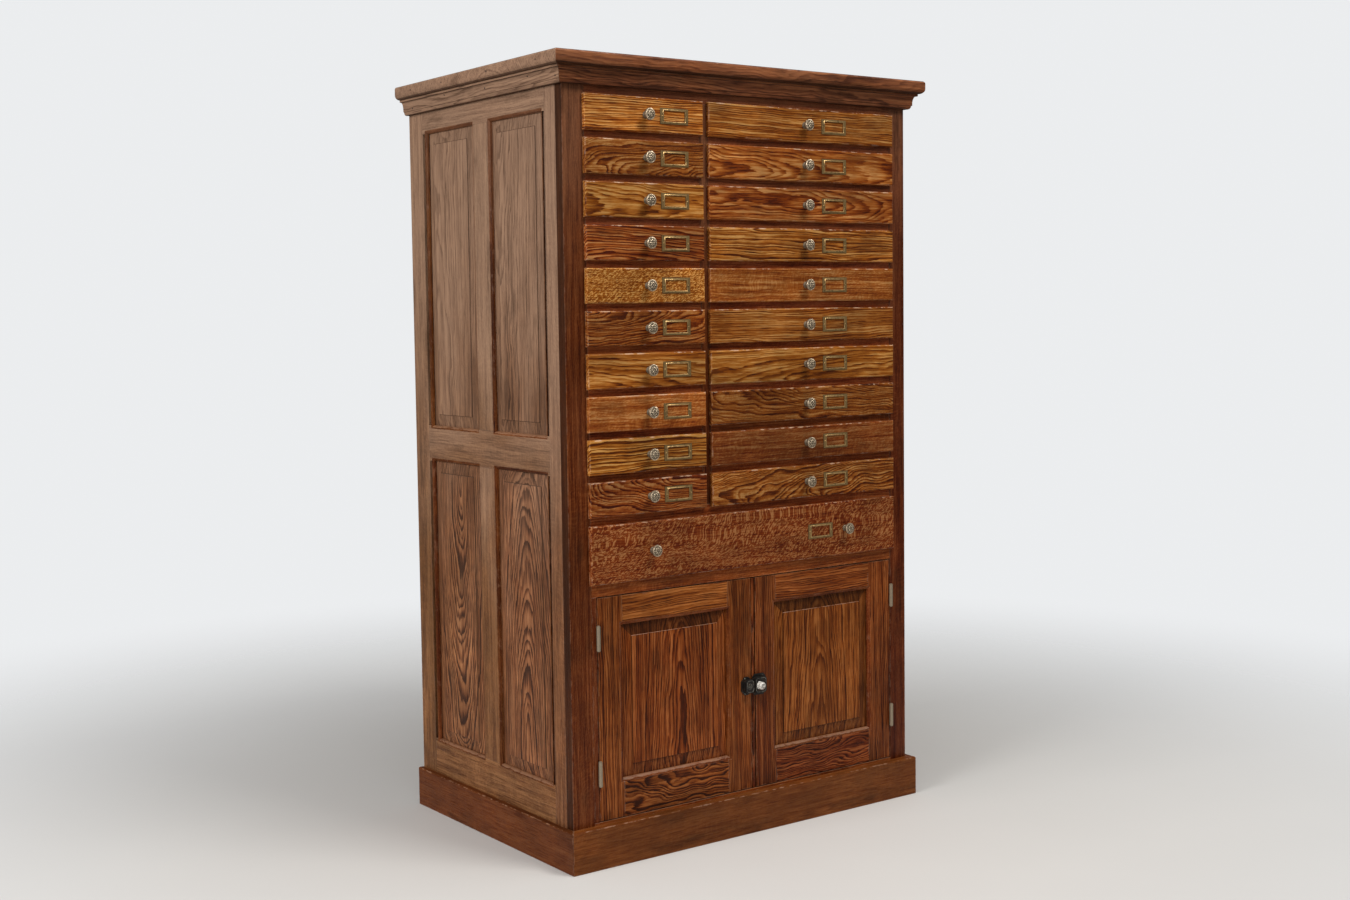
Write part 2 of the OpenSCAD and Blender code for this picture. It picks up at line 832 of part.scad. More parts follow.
// Keeper on the left door: a hollow casting, open towards the bolt.
module latch_keeper() {
    color("dimgray") placed()
        translate([keeper_x, -joint, latch_z])
            difference() {
                union() {
                    casting(keeper_w, keeper_h, 9, 2.5);
                    translate([6, 0, 0])
                        casting(keeper_w - 6, keeper_h - 10, 5, case_t - joint);
                }
                board(
                    [keeper_w - 12, bolt_y[0] - clear, -cavity_h / 2],
                    [keeper_w + eps, bolt_y[1] + clear, cavity_h / 2]
                );
                for (s = [-1, 1])
                    translate([keeper_w / 3, eps, s * (keeper_h / 2 - 3)])
                        rotate([90, 0, 0])
                            cylinder(r = latch_screw_r, h = case_t, $fn = 24);
            }
}

// Bolt, drawn back into its case, with an open slot that the crank pin works in.
module latch_bolt() {
    slot = crank_pin_r + 0.3;
    color("gray") placed()
        translate([case_x + joint, 0, latch_z])
            difference() {
                board([0, bolt_y[0], -bolt_h / 2], [bolt_l - joint, bolt_y[1], bolt_h / 2]);
                translate([spindle_x - case_x - joint + crank_r * sin(crank_start), 0, 0])
                    board([-slot, bolt_y[0] - eps, 2.4], [slot, bolt_y[1] + eps, bolt_h]);
                translate([0, 0, -bolt_h / 2])
                    rotate([0, 45, 0])
                        cube([2.4, 4 * bolt_h, 2.4], center = true);
            }
}

// Porcelain knob on its iron spindle, with the crank pin at the spindle's inner end.
module latch_knob() {
    r = knob_d / 2;
    web_r = crank_r + crank_pin_r;
    outline = concat(
        [[0, -spindle_end - web_t], [web_r, -spindle_end - web_t], [web_r, -spindle_end]],
        [[spindle_r, -spindle_end], [spindle_r, case_t + 1]],
        [[0.55 * r, case_t + 1], [0.42 * r, case_t + 4]],
        [for (a = [-50 : 12.5 : 87.5]) [r * cos(a), case_t + 4 + 0.66 * r + 0.78 * r * sin(a)]],
        [[0, case_t + 4 + 1.44 * r]]
    );
    color("white") placed()
        translate([spindle_x, 0, latch_z]) {
            rotate([90, 0, 0])
                rotate_extrude($fn = 72)
                    polygon(outline);
            translate([crank_r * sin(crank_start), bolt_y[1], crank_r * cos(crank_start)])
                rotate([90, 0, 0])
                    cylinder(r = crank_pin_r, h = bolt_y[1] - spindle_end - web_t / 2, $fn = 36);
        }
}

cornice();
side_frames();
side_panels();
front_frame();
back_boards();
inner_boards();
plinth();
left_door_frame();
left_door_panel();
right_door_frame();
right_door_panel();
hinge_frame_leaves();
left_door_hinges();
right_door_hinges();
latch_case();
latch_keeper();
latch_bolt();
latch_knob();
wide_drawer();
wide_drawer_pulls();
for (i = [1 : rows]) {
    small_drawer(left_col, i);
    small_drawer(right_col, i);
    small_pull(left_col, i, left_card_x);
    small_pull(right_col, i, right_card_x);
}
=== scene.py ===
"""Looks of the apothecary cabinet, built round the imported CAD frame.

Metres, +Z up, the front faces -Y. Every wooden node is rebuilt as separate eased boards that carry
their own grain direction, growth rings and tone, which the oak materials read as attributes.
"""

import json
import math
import random

import bmesh
import bpy
from mathutils import Matrix, Vector
from mathutils.bvhtree import BVHTree


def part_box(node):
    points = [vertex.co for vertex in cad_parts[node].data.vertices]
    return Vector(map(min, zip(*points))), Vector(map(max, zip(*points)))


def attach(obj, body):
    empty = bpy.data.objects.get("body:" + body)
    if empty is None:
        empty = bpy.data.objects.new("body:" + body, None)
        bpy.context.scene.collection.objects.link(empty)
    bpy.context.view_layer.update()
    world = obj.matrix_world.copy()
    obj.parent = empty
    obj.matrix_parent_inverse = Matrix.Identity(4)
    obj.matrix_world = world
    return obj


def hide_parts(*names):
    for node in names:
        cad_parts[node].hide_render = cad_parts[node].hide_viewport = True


MM = 0.001

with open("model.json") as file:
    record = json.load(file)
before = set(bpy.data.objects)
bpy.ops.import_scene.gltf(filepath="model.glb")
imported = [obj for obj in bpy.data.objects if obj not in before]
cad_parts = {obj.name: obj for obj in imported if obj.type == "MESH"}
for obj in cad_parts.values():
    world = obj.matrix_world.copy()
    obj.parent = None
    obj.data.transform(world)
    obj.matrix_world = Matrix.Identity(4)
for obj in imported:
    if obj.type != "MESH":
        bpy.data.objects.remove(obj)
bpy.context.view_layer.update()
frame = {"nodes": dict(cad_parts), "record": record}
body_of_node = {
    node: body
    for body, members in frame["record"]["behaviour"]["bodies"].items()
    for node in members
}
SIDES = ("left", "right")
ROWS = 10


# ---- Short forms for writing a material's nodes ----


class Nodes:
    """One material and short ways to add nodes to it."""

    def __init__(self, name, **constants):
        self.material = bpy.data.materials.new(name)
        self.material.use_nodes = True
        self.tree = self.material.node_tree
        self.shader = self.tree.nodes["Principled BSDF"]
        for key, value in constants.items():
            self.shader.inputs[key.replace("_", " ")].default_value = value

    def add(self, kind, inputs, **settings):
        node = self.tree.nodes.new("ShaderNode" + kind)
        for key, value in settings.items():
            setattr(node, key, value)
        for key, value in inputs.items():
            self.feed(node.inputs[key], value)
        return node

    def feed(self, socket, value):
        if isinstance(value, bpy.types.NodeSocket):
            self.tree.links.new(value, socket)
        else:
            socket.default_value = value

    def attribute(self, name):
        return self.add("Attribute", {}, attribute_name=name).outputs["Vector"]

    def attribute_value(self, name):
        return self.add("Attribute", {}, attribute_name=name).outputs["Fac"]

    def split(self, vector):
        node = self.add("SeparateXYZ", {0: vector})
        return node.outputs[0], node.outputs[1], node.outputs[2]

    def join(self, x, y, z):
        return self.add("CombineXYZ", {0: x, 1: y, 2: z}).outputs[0]

    def math(self, operation, a, b=0.0, c=0.0):
        return self.add("Math", {0: a, 1: b, 2: c}, operation=operation).outputs[0]

    def vector(self, operation, a, b):
        return self.add("VectorMath", {0: a, 1: b}, operation=operation).outputs[0]

    def noise(self, at, scale, detail=2.0, roughness=0.5):
        """Noise at a point scaled by scale: its grey value and its three separate channels."""
        scaled = self.vector("MULTIPLY", at, scale)
        node = self.add(
            "TexNoise", {"Vector": scaled, "Scale": 1.0, "Detail": detail, "Roughness": roughness}
        )
        return node.outputs[0], node.outputs[1]

    def spread(self, value, amount):
        """A 0..1 value turned into -amount/2..amount/2."""
        return self.math("MULTIPLY", self.math("SUBTRACT", value, 0.5), amount)

    def band(self, value, low, high):
        """Smooth step from 0 at low to 1 at high."""
        node = self.add(
            "MapRange", {0: value, 1: low, 2: high, 3: 0.0, 4: 1.0}, interpolation_type="SMOOTHSTEP"
        )
        return node.outputs[0]

    def scale(self, value, low, high):
        """0..1 turned into low..high."""
        return self.add("MapRange", {0: value, 1: 0.0, 2: 1.0, 3: low, 4: high}).outputs[0]

    def ramp(self, value, stops):
        node = self.add("ValToRGB", {0: value})
        ramp = node.color_ramp
        while len(ramp.elements) < len(stops):
            ramp.elements.new(0.5)
        for element, (position, colour) in zip(ramp.elements, stops):
            element.position = position
            element.color = (*colour, 1.0)
        return node.outputs[0]

    def mix(self, factor, a, b):
        node = self.add("Mix", {0: factor}, data_type="RGBA")
        for socket, value in ((node.inputs[6], a), (node.inputs[7], b)):
            self.feed(socket, (*value, 1.0) if isinstance(value, tuple) else value)
        return node.outputs[2]

    def bump(self, height, distance, strength=1.0):
        node = self.add("Bump", {"Height": height, "Distance": distance, "Strength": strength})
        self.feed(self.shader.inputs["Normal"], node.outputs[0])


# ---- Wood ----

RING = 5.0 * MM


def wood_figure(n):
    """Growth rings, pores, streaks and rays from the board attributes, as 0..1 sockets."""
    local = n.attribute("local")
    at = n.vector("ADD", local, n.attribute("seed"))
    u, v, w = n.split(local)
    ring_v, ring_w, taper = n.split(n.attribute("ring"))
    strength, rays, swirl = n.split(n.attribute("look"))
    slow_v, slow_w, patch = n.split(n.noise(at, (2.6, 9, 9), 2)[1])
    swirl_v, swirl_w, blotch = n.split(n.noise(at, (11, 19, 19), 1)[1])
    dv = n.math("ADD", n.math("SUBTRACT", v, ring_v), n.spread(slow_v, 40 * MM))
    dv = n.math("ADD", dv, n.math("MULTIPLY", n.math("SUBTRACT", swirl_v, 0.5), swirl))
    dw = n.math("MULTIPLY_ADD", u, taper, n.math("ADD", w, ring_w))
    dw = n.math("ADD", dw, n.spread(slow_w, 40 * MM))
    dw = n.math("ADD", dw, n.math("MULTIPLY", n.math("SUBTRACT", swirl_w, 0.5), swirl))
    radius = n.math("SQRT", n.math("MULTIPLY_ADD", dv, dv, n.math("MULTIPLY", dw, dw)))
    ragged = n.noise(at, (18, 190, 190), 3, 0.6)[0]
    turns = n.math("DIVIDE", n.math("ADD", radius, n.spread(ragged, 4.5 * MM)), RING)
    uneven = n.noise(n.join(n.math("MULTIPLY", radius, 60.0), 0.0, 0.0), (1, 1, 1), 1)[0]
    turns = n.math("ADD", turns, n.spread(uneven, 3.0))
    phase = n.math("FRACT", turns)
    each = n.add("TexWhiteNoise", {"W": n.math("FLOOR", turns)}, noise_dimensions="1D").outputs[0]
    line = n.math("MULTIPLY", n.band(phase, 0.25, 0.92), n.band(phase, 1.0, 0.92))
    line = n.math("MULTIPLY", line, n.scale(each, 0.35, 1.0))
    dash = n.band(n.noise(at, (24, 420, 420), 2)[0], 0.5, 0.62)
    pore = n.band(n.noise(at, (60, 1300, 1300), 1)[0], 0.54, 0.64)
    streak = n.noise(at, (4.5, 120, 120), 4, 0.62)[0]
    figured = n.band(strength, -0.1, 0.3)
    streak = n.math("MULTIPLY_ADD", n.math("SUBTRACT", streak, 0.5), figured, 0.5)
    bent = n.math("MULTIPLY_ADD", n.math("SUBTRACT", slow_v, 0.5), 0.16, v)
    tilted = n.join(n.math("MULTIPLY_ADD", bent, 0.75, u), n.math("MULTIPLY_ADD", u, -0.5, bent), w)
    tilted = n.vector("ADD", tilted, n.attribute("seed"))
    ray = n.math("MULTIPLY", n.band(n.noise(tilted, (115, 400, 400), 2, 0.6)[0], 0.46, 0.6), rays)
    return {
        "line": n.math("MULTIPLY", line, strength),
        "dash": dash,
        "pore": pore,
        "streak": streak,
        "ray": ray,
        "rays": rays,
        "patch": patch,
        "blotch": blotch,
        "at": at,
        "local": local,
    }


def arris(n, at):
    """1 on the edges and corners of a board, falling to 0 a few millimetres away. It is stronger on edges
    that face up, so it is partly wear and partly a painted highlight of light from above.
    """
    away = n.add("VectorMath", {0: at["local"]}, operation="ABSOLUTE").outputs[0]
    a, b, c = n.split(n.vector("SUBTRACT", n.attribute("half"), away))
    low = n.math("MINIMUM", a, b)
    high = n.math("MAXIMUM", a, b)
    second = n.math("MAXIMUM", low, n.math("MINIMUM", high, c))
    rough = n.noise(at["at"], (45, 60, 60), 4, 0.7)[0]
    reach = n.math("ADD", second, n.spread(rough, 16 * MM))
    # Edges that face up get more of the light edge colour. This is wear, and also a painted highlight of
    # light from above.
    lit_from_above = n.band(n.split(n.add("TexCoord", {}).outputs["Normal"])[2], 0.1, 0.6)
    held_off = n.scale(lit_from_above, 0.26, 0.0)
    rubbed = n.band(n.math("SUBTRACT", rough, held_off), 0.34, 0.5)
    rubbed = n.math("MULTIPLY", n.attribute_value("rubbed"), rubbed)
    knocked_and_lit = n.math("MULTIPLY", n.band(reach, 1.6 * MM, 0.0), n.scale(lit_from_above, 0.3, 1.0))
    return n.math("MAXIMUM", knocked_and_lit, rubbed)


# Specular level of edges that hands have polished.
POLISH = 0.75


def wood(name, stops, wear_and_highlight, wear, grime_and_shade, contrast=1.0, fade_and_sheen=None, roughness=(0.3, 0.52), shine=0.35):
    """An oak or pine finish. stops run from the lightest wood to the darkest line.

    The edge colour and its share paint rubbed edges, and on upward-facing edges also a painted highlight.
    The grime colour paints dirt in patches and the painted shade on faces marked shade. The fade colours
    make the wood lighter and greyer towards the top, partly sun-fade and partly painted sheen.
    """
    n = Nodes(name)
    at = wood_figure(n)
    open_line = n.scale(at["line"], 0.3, 1.0)
    dark = n.math("MULTIPLY", at["line"], 0.62 * contrast)
    dark = n.math("MULTIPLY_ADD", n.math("MULTIPLY", at["dash"], open_line), 0.42 * contrast, dark)
    dark = n.math("MULTIPLY_ADD", n.math("MULTIPLY", at["pore"], open_line), 0.25 * contrast, dark)
    streak = n.spread(at["streak"], 1.5 * contrast)
    dark = n.math("MULTIPLY_ADD", streak, n.scale(at["rays"], 1.0, 0.45), dark)
    dark = n.math("MULTIPLY_ADD", at["rays"], 0.3, dark)
    dark = n.math("ADD", dark, 0.14)
    dark = n.math("MULTIPLY_ADD", at["ray"], -0.56, dark)
    colour = n.ramp(dark, stops)
    value, warmth = n.split(n.attribute("tone"))[:2]
    value = n.math("MULTIPLY", value, n.scale(at["patch"], 0.4, 1.6))
    value = n.math("MULTIPLY", value, n.scale(at["blotch"], 0.7, 1.3))
    shimmer = n.noise(at["at"], (34, 13, 13), 2)[0]
    value = n.math("MULTIPLY", value, n.scale(shimmer, 0.78, 1.22))
    toned = n.add("HueSaturation", {"Hue": n.math("ADD", warmth, 0.5), "Value": value, "Color": colour})
    colour = toned.outputs[0]
    # Lighter and greyer towards the top: partly sun-fade, partly painted sheen of light on the upper
    # parts.
    if fade_and_sheen:
        height = n.split(n.add("TexCoord", {}).outputs["Object"])[2]
        fade_sheen_share = n.band(n.math("ADD", height, n.spread(at["patch"], 1.6)), fade_and_sheen[2], fade_and_sheen[3])
        colour = n.mix(n.math("MULTIPLY", fade_sheen_share, fade_and_sheen[4]), colour, n.mix(dark, fade_and_sheen[0], fade_and_sheen[1]))
    # Light edge colour: rubbed wear, and on upward-facing edges a painted highlight.
    edge = arris(n, at)
    colour = n.mix(n.math("MULTIPLY", edge, wear), colour, wear_and_highlight)
    n.feed(n.shader.inputs["Specular IOR Level"], n.scale(edge, shine, POLISH))
    dirt = n.band(n.noise(at["at"], (7, 22, 22), 4, 0.62)[0], 0.52, 0.74)
    colour = n.mix(n.math("MULTIPLY", dirt, 0.5), colour, grime_and_shade)
    # Painted shade: faces marked shade take the grime colour. These are in gaps, on panel slopes and on
    # the level faces of the cornice.
    painted_shade = n.math("MULTIPLY", n.attribute_value("shade"), n.scale(at["streak"], 0.55, 1.0))
    colour = n.mix(painted_shade, colour, grime_and_shade)
    n.feed(n.shader.inputs["Base Color"], colour)
    gloss = n.scale(n.noise(at["at"], (12, 40, 40), 3)[0], roughness[0], roughness[1])
    gloss = n.math("MULTIPLY_ADD", at["dash"], 0.12, gloss)
    n.feed(n.shader.inputs["Roughness"], n.math("MULTIPLY_ADD", dirt, 0.12, gloss))
    height = n.math("MULTIPLY_ADD", at["pore"], -0.5, n.math("MULTIPLY", at["dash"], -0.6))
    height = n.math("MULTIPLY_ADD", at["line"], -0.5, height)
    height = n.math("MULTIPLY_ADD", at["streak"], 0.8, height)
    n.bump(height, 0.3 * MM, 0.8)
    return n.material


FRONT_STOPS = (
    (0.0, (0.350, 0.112, 0.028)),
    (0.25, (0.235, 0.060, 0.010)),
    (0.5, (0.150, 0.031, 0.004)),
    (0.8, (0.072, 0.013, 0.002)),
    (1.0, (0.036, 0.007, 0.001)),
)
DRAWER_STOPS = (
    (0.0, (0.700, 0.340, 0.100)),
    (0.22, (0.495, 0.168, 0.026)),
    (0.5, (0.300, 0.073, 0.006)),
    (0.78, (0.145, 0.026, 0.002)),
    (1.0, (0.075, 0.014, 0.002)),
)
SIDE_STOPS = (
    (0.0, (0.300, 0.132, 0.050)),
    (0.3, (0.200, 0.077, 0.026)),
    (0.6, (0.112, 0.038, 0.012)),
    (1.0, (0.036, 0.012, 0.004)),
)
# Lighter, greyer tops, partly sun-fade and partly painted sheen: light wood, dark line, the heights where
# it starts and is whole, and its greatest share.
FRONT_FADE_SHEEN = ((0.330, 0.165, 0.090), (0.105, 0.044, 0.022), 0.9, 2.0, 0.5)
SIDE_FADE_SHEEN = ((0.450, 0.275, 0.178), (0.185, 0.100, 0.058), 0.25, 1.45, 0.82)
PINE_STOPS = (
    (0.0, (0.640, 0.405, 0.215)),
    (0.3, (0.530, 0.305, 0.145)),
    (0.65, (0.370, 0.178, 0.070)),
    (1.0, (0.220, 0.086, 0.030)),
)
# The edge colour, the first after the stops, is partly wear and partly a painted highlight on
# upward-facing edges. The grime colour, the last, also paints the shade in gaps, on panel slopes and
# under the cornice.
front_oak = wood(
    "FrontOak",
    FRONT_STOPS,
    (0.42, 0.205, 0.105),
    0.62,
    (0.030, 0.010, 0.003),
    contrast=1.25,
    fade_and_sheen=FRONT_FADE_SHEEN,
    shine=0.12,
    roughness=(0.28, 0.48),
)
# The edge colour, the first after the stops, is partly wear and partly a painted highlight on the
# drawers' top edges.
drawer_oak = wood(
    "DrawerOak",
    DRAWER_STOPS,
    (0.74, 0.47, 0.29),
    0.8,
    (0.12, 0.035, 0.007),
    contrast=1.15,
    shine=0.12,
    roughness=(0.28, 0.48),
)
# The grime colour, the last, also paints the shade on the side panels' slopes and round their fields.
side_oak = wood(
    "SideOak",
    SIDE_STOPS,
    (0.34, 0.20, 0.12),
    0.4,
    (0.085, 0.040, 0.020),
    contrast=1.25,
    fade_and_sheen=SIDE_FADE_SHEEN,
    roughness=(0.42, 0.62),
    shine=0.25,
)
pine = wood(
    "Pine", PINE_STOPS, (0.30, 0.18, 0.085), 0.45, (0.2, 0.11, 0.05), contrast=0.7, roughness=(0.55, 0.75)
)


# ---- Metals, glaze and iron ----


def metal(name, bright, dull, roughness, grain, patina_low=0.42, patina_high=0.62, metallic=1.0):
    """A metal whose patina stays in the hollows of its relief and is rubbed off its high spots."""
    n = Nodes(name, Metallic=metallic)
    at = n.vector("ADD", n.add("TexCoord", {}).outputs["Object"], n.attribute("seed"))
    mottle = n.noise(at, (grain, grain, grain), 4, 0.6)[0]
    fine = n.noise(at, (grain * 7, grain * 7, grain * 7), 2)[0]
    hollow = n.band(n.attribute_value("relief"), 0.75, 0.1)
    patina = n.band(n.math("ADD", mottle, n.spread(fine, 0.3)), patina_low, patina_high)
    patina = n.math("MAXIMUM", n.math("MULTIPLY", patina, 0.75), hollow)
    n.feed(n.shader.inputs["Base Color"], n.mix(patina, bright, dull))
    n.feed(n.shader.inputs["Roughness"], n.scale(patina, roughness[0], roughness[1]))
    n.bump(fine, 0.12 * MM, 0.6)
    return n.material


brass = metal(
    "AgedBrass", (0.66, 0.53, 0.37), (0.040, 0.024, 0.012), (0.28, 0.6), 300.0, 0.44, 0.72, 0.7
)
holder_brass = metal(
    "HolderBrass", (0.62, 0.40, 0.16), (0.035, 0.020, 0.008), (0.30, 0.6), 160.0, 0.42, 0.72, 0.7
)
steel = metal("HingeSteel", (0.72, 0.66, 0.56), (0.36, 0.29, 0.20), (0.34, 0.55), 180.0, 0.5, 0.75, 0.4)


def japanned_iron():
    """Black cast iron, rusty in patches and rubbed grey on its relief."""
    n = Nodes("BlackIron", Metallic=0.6)
    at = n.add("TexCoord", {}).outputs["Object"]
    cast = n.noise(at, (420, 420, 420), 4, 0.6)[0]
    rust = n.band(n.noise(at, (90, 90, 90), 4, 0.65)[0], 0.52, 0.66)
    colour = n.mix(rust, (0.028, 0.025, 0.023), (0.070, 0.042, 0.026))
    rubbed = n.math("MULTIPLY", n.attribute_value("relief"), n.band(cast, 0.4, 0.6))
    colour = n.mix(rubbed, colour, (0.26, 0.25, 0.21))
    n.feed(n.shader.inputs["Base Color"], colour)
    n.feed(n.shader.inputs["Roughness"], n.scale(cast, 0.28, 0.62))
    n.bump(cast, 0.4 * MM, 0.7)
    return n.material


def glazed():
    """White porcelain with a fine crackle in its glaze."""
    n = Nodes("Porcelain", Coat_Weight=0.6, Coat_Roughness=0.04)
    at = n.add("TexCoord", {}).outputs["Object"]
    soft = n.noise(at, (60, 60, 60), 3)[0]
    craze = n.add(
        "TexVoronoi", {"Vector": at, "Scale": 420.0}, feature="DISTANCE_TO_EDGE"
    ).outputs["Distance"]
    cracks = n.band(craze, 0.02, 0.0)
    colour = n.mix(soft, (0.82, 0.78, 0.70), (0.88, 0.86, 0.81))
    colour = n.mix(n.math("MULTIPLY", cracks, 0.25), colour, (0.45, 0.36, 0.26))
    n.feed(n.shader.inputs["Base Color"], colour)
    n.feed(n.shader.inputs["Roughness"], n.scale(soft, 0.12, 0.22))
    n.bump(soft, 0.1 * MM, 0.5)
    return n.material


iron = japanned_iron()
porcelain = glazed()


# ---- Boards ----

LAYERS = ("local", "half", "seed", "ring", "look", "tone")


def islands(bm):
    """The separate solids of a mesh, each as its vertices, in an order that never changes."""
    seen = set()
    found = []
    for first in bm.verts:
        if first in seen:
            continue
        seen.add(first)
        part = [first]
        for v in part:
            for e in v.link_edges:
                other = e.other_vert(v)
                if other not in seen:
                    seen.add(other)
                    part.append(other)
        found.append(part)
    return found


def extent(verts):
    """The low and high corners of some vertices."""
    low = Vector([min(v.co[i] for v in verts) for i in range(3)])
    high = Vector([max(v.co[i] for v in verts) for i in range(3)])
    return low, high


def cad_boards(node):
    """A CAD node's solids as clean boards, without the triangles of flat faces."""
    bm = bmesh.new()
    bm.from_mesh(frame["nodes"][node].data)
    bmesh.ops.remove_doubles(bm, verts=bm.verts, dist=0.01 * MM)
    bmesh.ops.dissolve_limit(bm, angle_limit=math.radians(1), verts=bm.verts, edges=bm.edges)
    return bm


def drop(bm, test):
    """Removes the boards whose corners (low, high) pass the test."""
    gone = [v for part in islands(bm) for v in part if test(*extent(part))]
    bmesh.ops.delete(bm, geom=gone, context="VERTS")


def round_off(bm, edges, radius, segments):
    """Rounds some edges, and gives the faces that this makes."""
    made = bmesh.ops.bevel(
        bm,
        geom=edges,
        offset=radius,
        offset_type="OFFSET",
        segments=segments,
        profile=0.5,
        affect="EDGES",
        clamp_overlap=True,
    )
    return made["faces"]


def ease(bm, radius, angle=35.0):
    """Rounds every edge that is sharper than angle, and marks what hands rub."""
    rubbed = bm.faces.layers.float.get("rubbed") or bm.faces.layers.float.new("rubbed")
    sharp = [
        e for e in bm.edges if len(e.link_faces) == 2 and e.calc_face_angle(0.0) > math.radians(angle)
    ]
    for f in round_off(bm, sharp, radius, 2):
        f[rubbed] = 1.0


def solid(bm, outline, axis, low, high):
    """A prism: outline is a list of (a, b) in the other two axes, in X, Y, Z order."""
    others = [i for i in range(3) if i != axis]
    rings = []
    for level in (low, high):
        ring = []
        for a, b in outline:
            co = [0.0, 0.0, 0.0]
            co[axis] = level
            co[others[0]] = a
            co[others[1]] = b
            ring.append(bm.verts.new(co))
        rings.append(ring)
    faces = [bm.faces.new(rings[0]), bm.faces.new(rings[1][::-1])]
    count = len(outline)
    for i in range(count):
        j = (i + 1) % count
        faces.append(bm.faces.new((rings[0][i], rings[1][i], rings[1][j], rings[0][j])))
    bmesh.ops.recalc_face_normals(bm, faces=faces)
    return rings[0] + rings[1]


def ring_run(bm, corners, profile, out):
    """A mitred moulding round a rectangle. corners run round it, profile is (inward, depth)."""
    rubbed = bm.faces.layers.float["rubbed"]
    middle = sum(corners, Vector()) / len(corners)
    count = len(corners)
    for k in range(count):
        a, b = corners[k], corners[(k + 1) % count]
        along = (b - a).normalized()
        inward = out.cross(along)
        if inward.dot(middle - a) < 0:
            inward = -inward
        ends = []
        for corner, turn in ((a, 1.0), (b, -1.0)):
            ends.append(
                [
                    bm.verts.new(corner + inward * s + along * (turn * s) - out * d)
                    for s, d in profile
                ]
            )
        faces = [bm.faces.new(ends[0]), bm.faces.new(ends[1][::-1])]
        for i in range(len(profile)):
            j = (i + 1) % len(profile)
            faces.append(bm.faces.new((ends[0][i], ends[1][i], ends[1][j], ends[0][j])))
        bmesh.ops.recalc_face_normals(bm, faces=faces)
        for f in faces:
            # Only the up-facing faces of the lower run get the light edge colour, as a painted highlight
            # of light from above.
            f[rubbed] = 1.0 if f.normal.z > 0.3 and inward.z > 0.5 else 0.0


def ovolo(size, step, points=7):
    """Section of the moulded edge round a panel: a small step and then a quarter round."""
    radius = size - step
    arc = [
        (
            step + radius * math.sin(math.radians(90 * i / points)),
            size - radius * math.cos(math.radians(90 * i / points)),
        )
        for i in range(points + 1)
    ]
    return arc + [(size - 0.8 * MM, size + 0.4 * MM), (step - 0.4 * MM, step + 0.6 * MM)]


def write_attributes(bm, look):
    """Gives every board its own coordinates along and across the grain, rings and tone."""
    layers = {name: bm.verts.layers.float_vector.new(name) for name in LAYERS}
    for part in islands(bm):
        low, high = extent(part)
        size = high - low
        middle = (low + high) / 2
        facts = look(low, high)
        axes = sorted(range(3), key=lambda i: -size[i])
        if "grain" in facts:
            axes.remove(facts["grain"])
            axes.insert(0, facts["grain"])
        values = {
            "half": Vector([size[i] / 2 for i in axes]),
            "seed": facts["seed"],
            "ring": facts["ring"],
            "look": facts["look"],
            "tone": facts["tone"],
        }
        for v in part:
            v[layers["local"]] = Vector([v.co[i] - middle[i] for i in axes])
            for name, value in values.items():
                v[layers[name]] = value
        if "slot" in facts:
            for f in {f for v in part for f in v.link_faces}:
                f.material_index = facts["slot"]


def finish_mesh(name, bm, materials, smooth_angle=32.0):
    """Turns a bmesh into an object whose flat faces stay flat beside their eased edges."""
    mesh = bpy.data.meshes.new(name)
    bm.to_mesh(mesh)
    bm.free()
    for polygon in mesh.polygons:
        polygon.use_smooth = True
    mesh.set_sharp_from_angle(angle=math.radians(smooth_angle))
    for material in materials:
        mesh.materials.append(material)
    piece = bpy.data.objects.new(name, mesh)
    bpy.context.scene.collection.objects.link(piece)
    weighted = piece.modifiers.new("Weighted", "WEIGHTED_NORMAL")
    weighted.mode = "FACE_AREA"
    weighted.keep_sharp = True
    return piece


def stand_for(piece, node):
    """The piece takes the place and the body of a CAD node."""
    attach(piece, body_of_node[node])
    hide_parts(node)


def pick_look(name, style="mild", value=1.0, warmth=0.0, spread=0.08):
    """A look for the boards of one piece, the same each run. Every board differs a little."""
    chance = random.Random(name)
    styles = {
        "straight": (0.16, 0.06, 0.02, 1.0, 0.0, 0.006),
        "mild": (0.06, 0.07, 0.035, 0.7, 0.0, 0.010),
        "cathedral": (0.012, 0.05, 0.07, 0.9, 0.0, 0.010),
        "pointed": (0.010, 0.045, 0.11, 1.25, 0.0, 0.006),
        "bold": (0.07, 0.05, 0.03, 1.35, 0.0, 0.008),
        "swirl": (0.05, 0.05, 0.10, 1.5, 0.1, 0.040),
        "flame": (0.05, 0.05, 0.16, 1.0, 0.2, 0.030),
        "fleck": (0.20, 0.05, 0.03, 0.35, 1.0, 0.020),
        "quiet": (0.12, 0.08, 0.01, 0.10, 0.12, 0.010),
        "plain": (0.12, 0.08, 0.02, 0.3, 0.3, 0.010),
    }

    def look(_low, _high):
        ring_v, ring_w, taper, strength, rays, swirl = styles[style]
        sign = chance.choice((-1, 1))
        return {
            "seed": Vector([chance.uniform(5, 60) for _ in range(3)]),
            "ring": Vector(
                (
                    sign * ring_v * chance.uniform(0.8, 1.25),
                    ring_w * chance.uniform(0.8, 1.3),
                    chance.choice((-1, 1)) * taper * chance.uniform(0.7, 1.4),
                )
            ),
            "look": Vector((strength * chance.uniform(0.85, 1.15), rays, swirl)),
            "tone": Vector(
                (
                    value * chance.uniform(1 - spread, 1 + spread),
                    warmth + chance.uniform(-0.004, 0.004),
                    0.0,
                )
            ),
        }

    return look


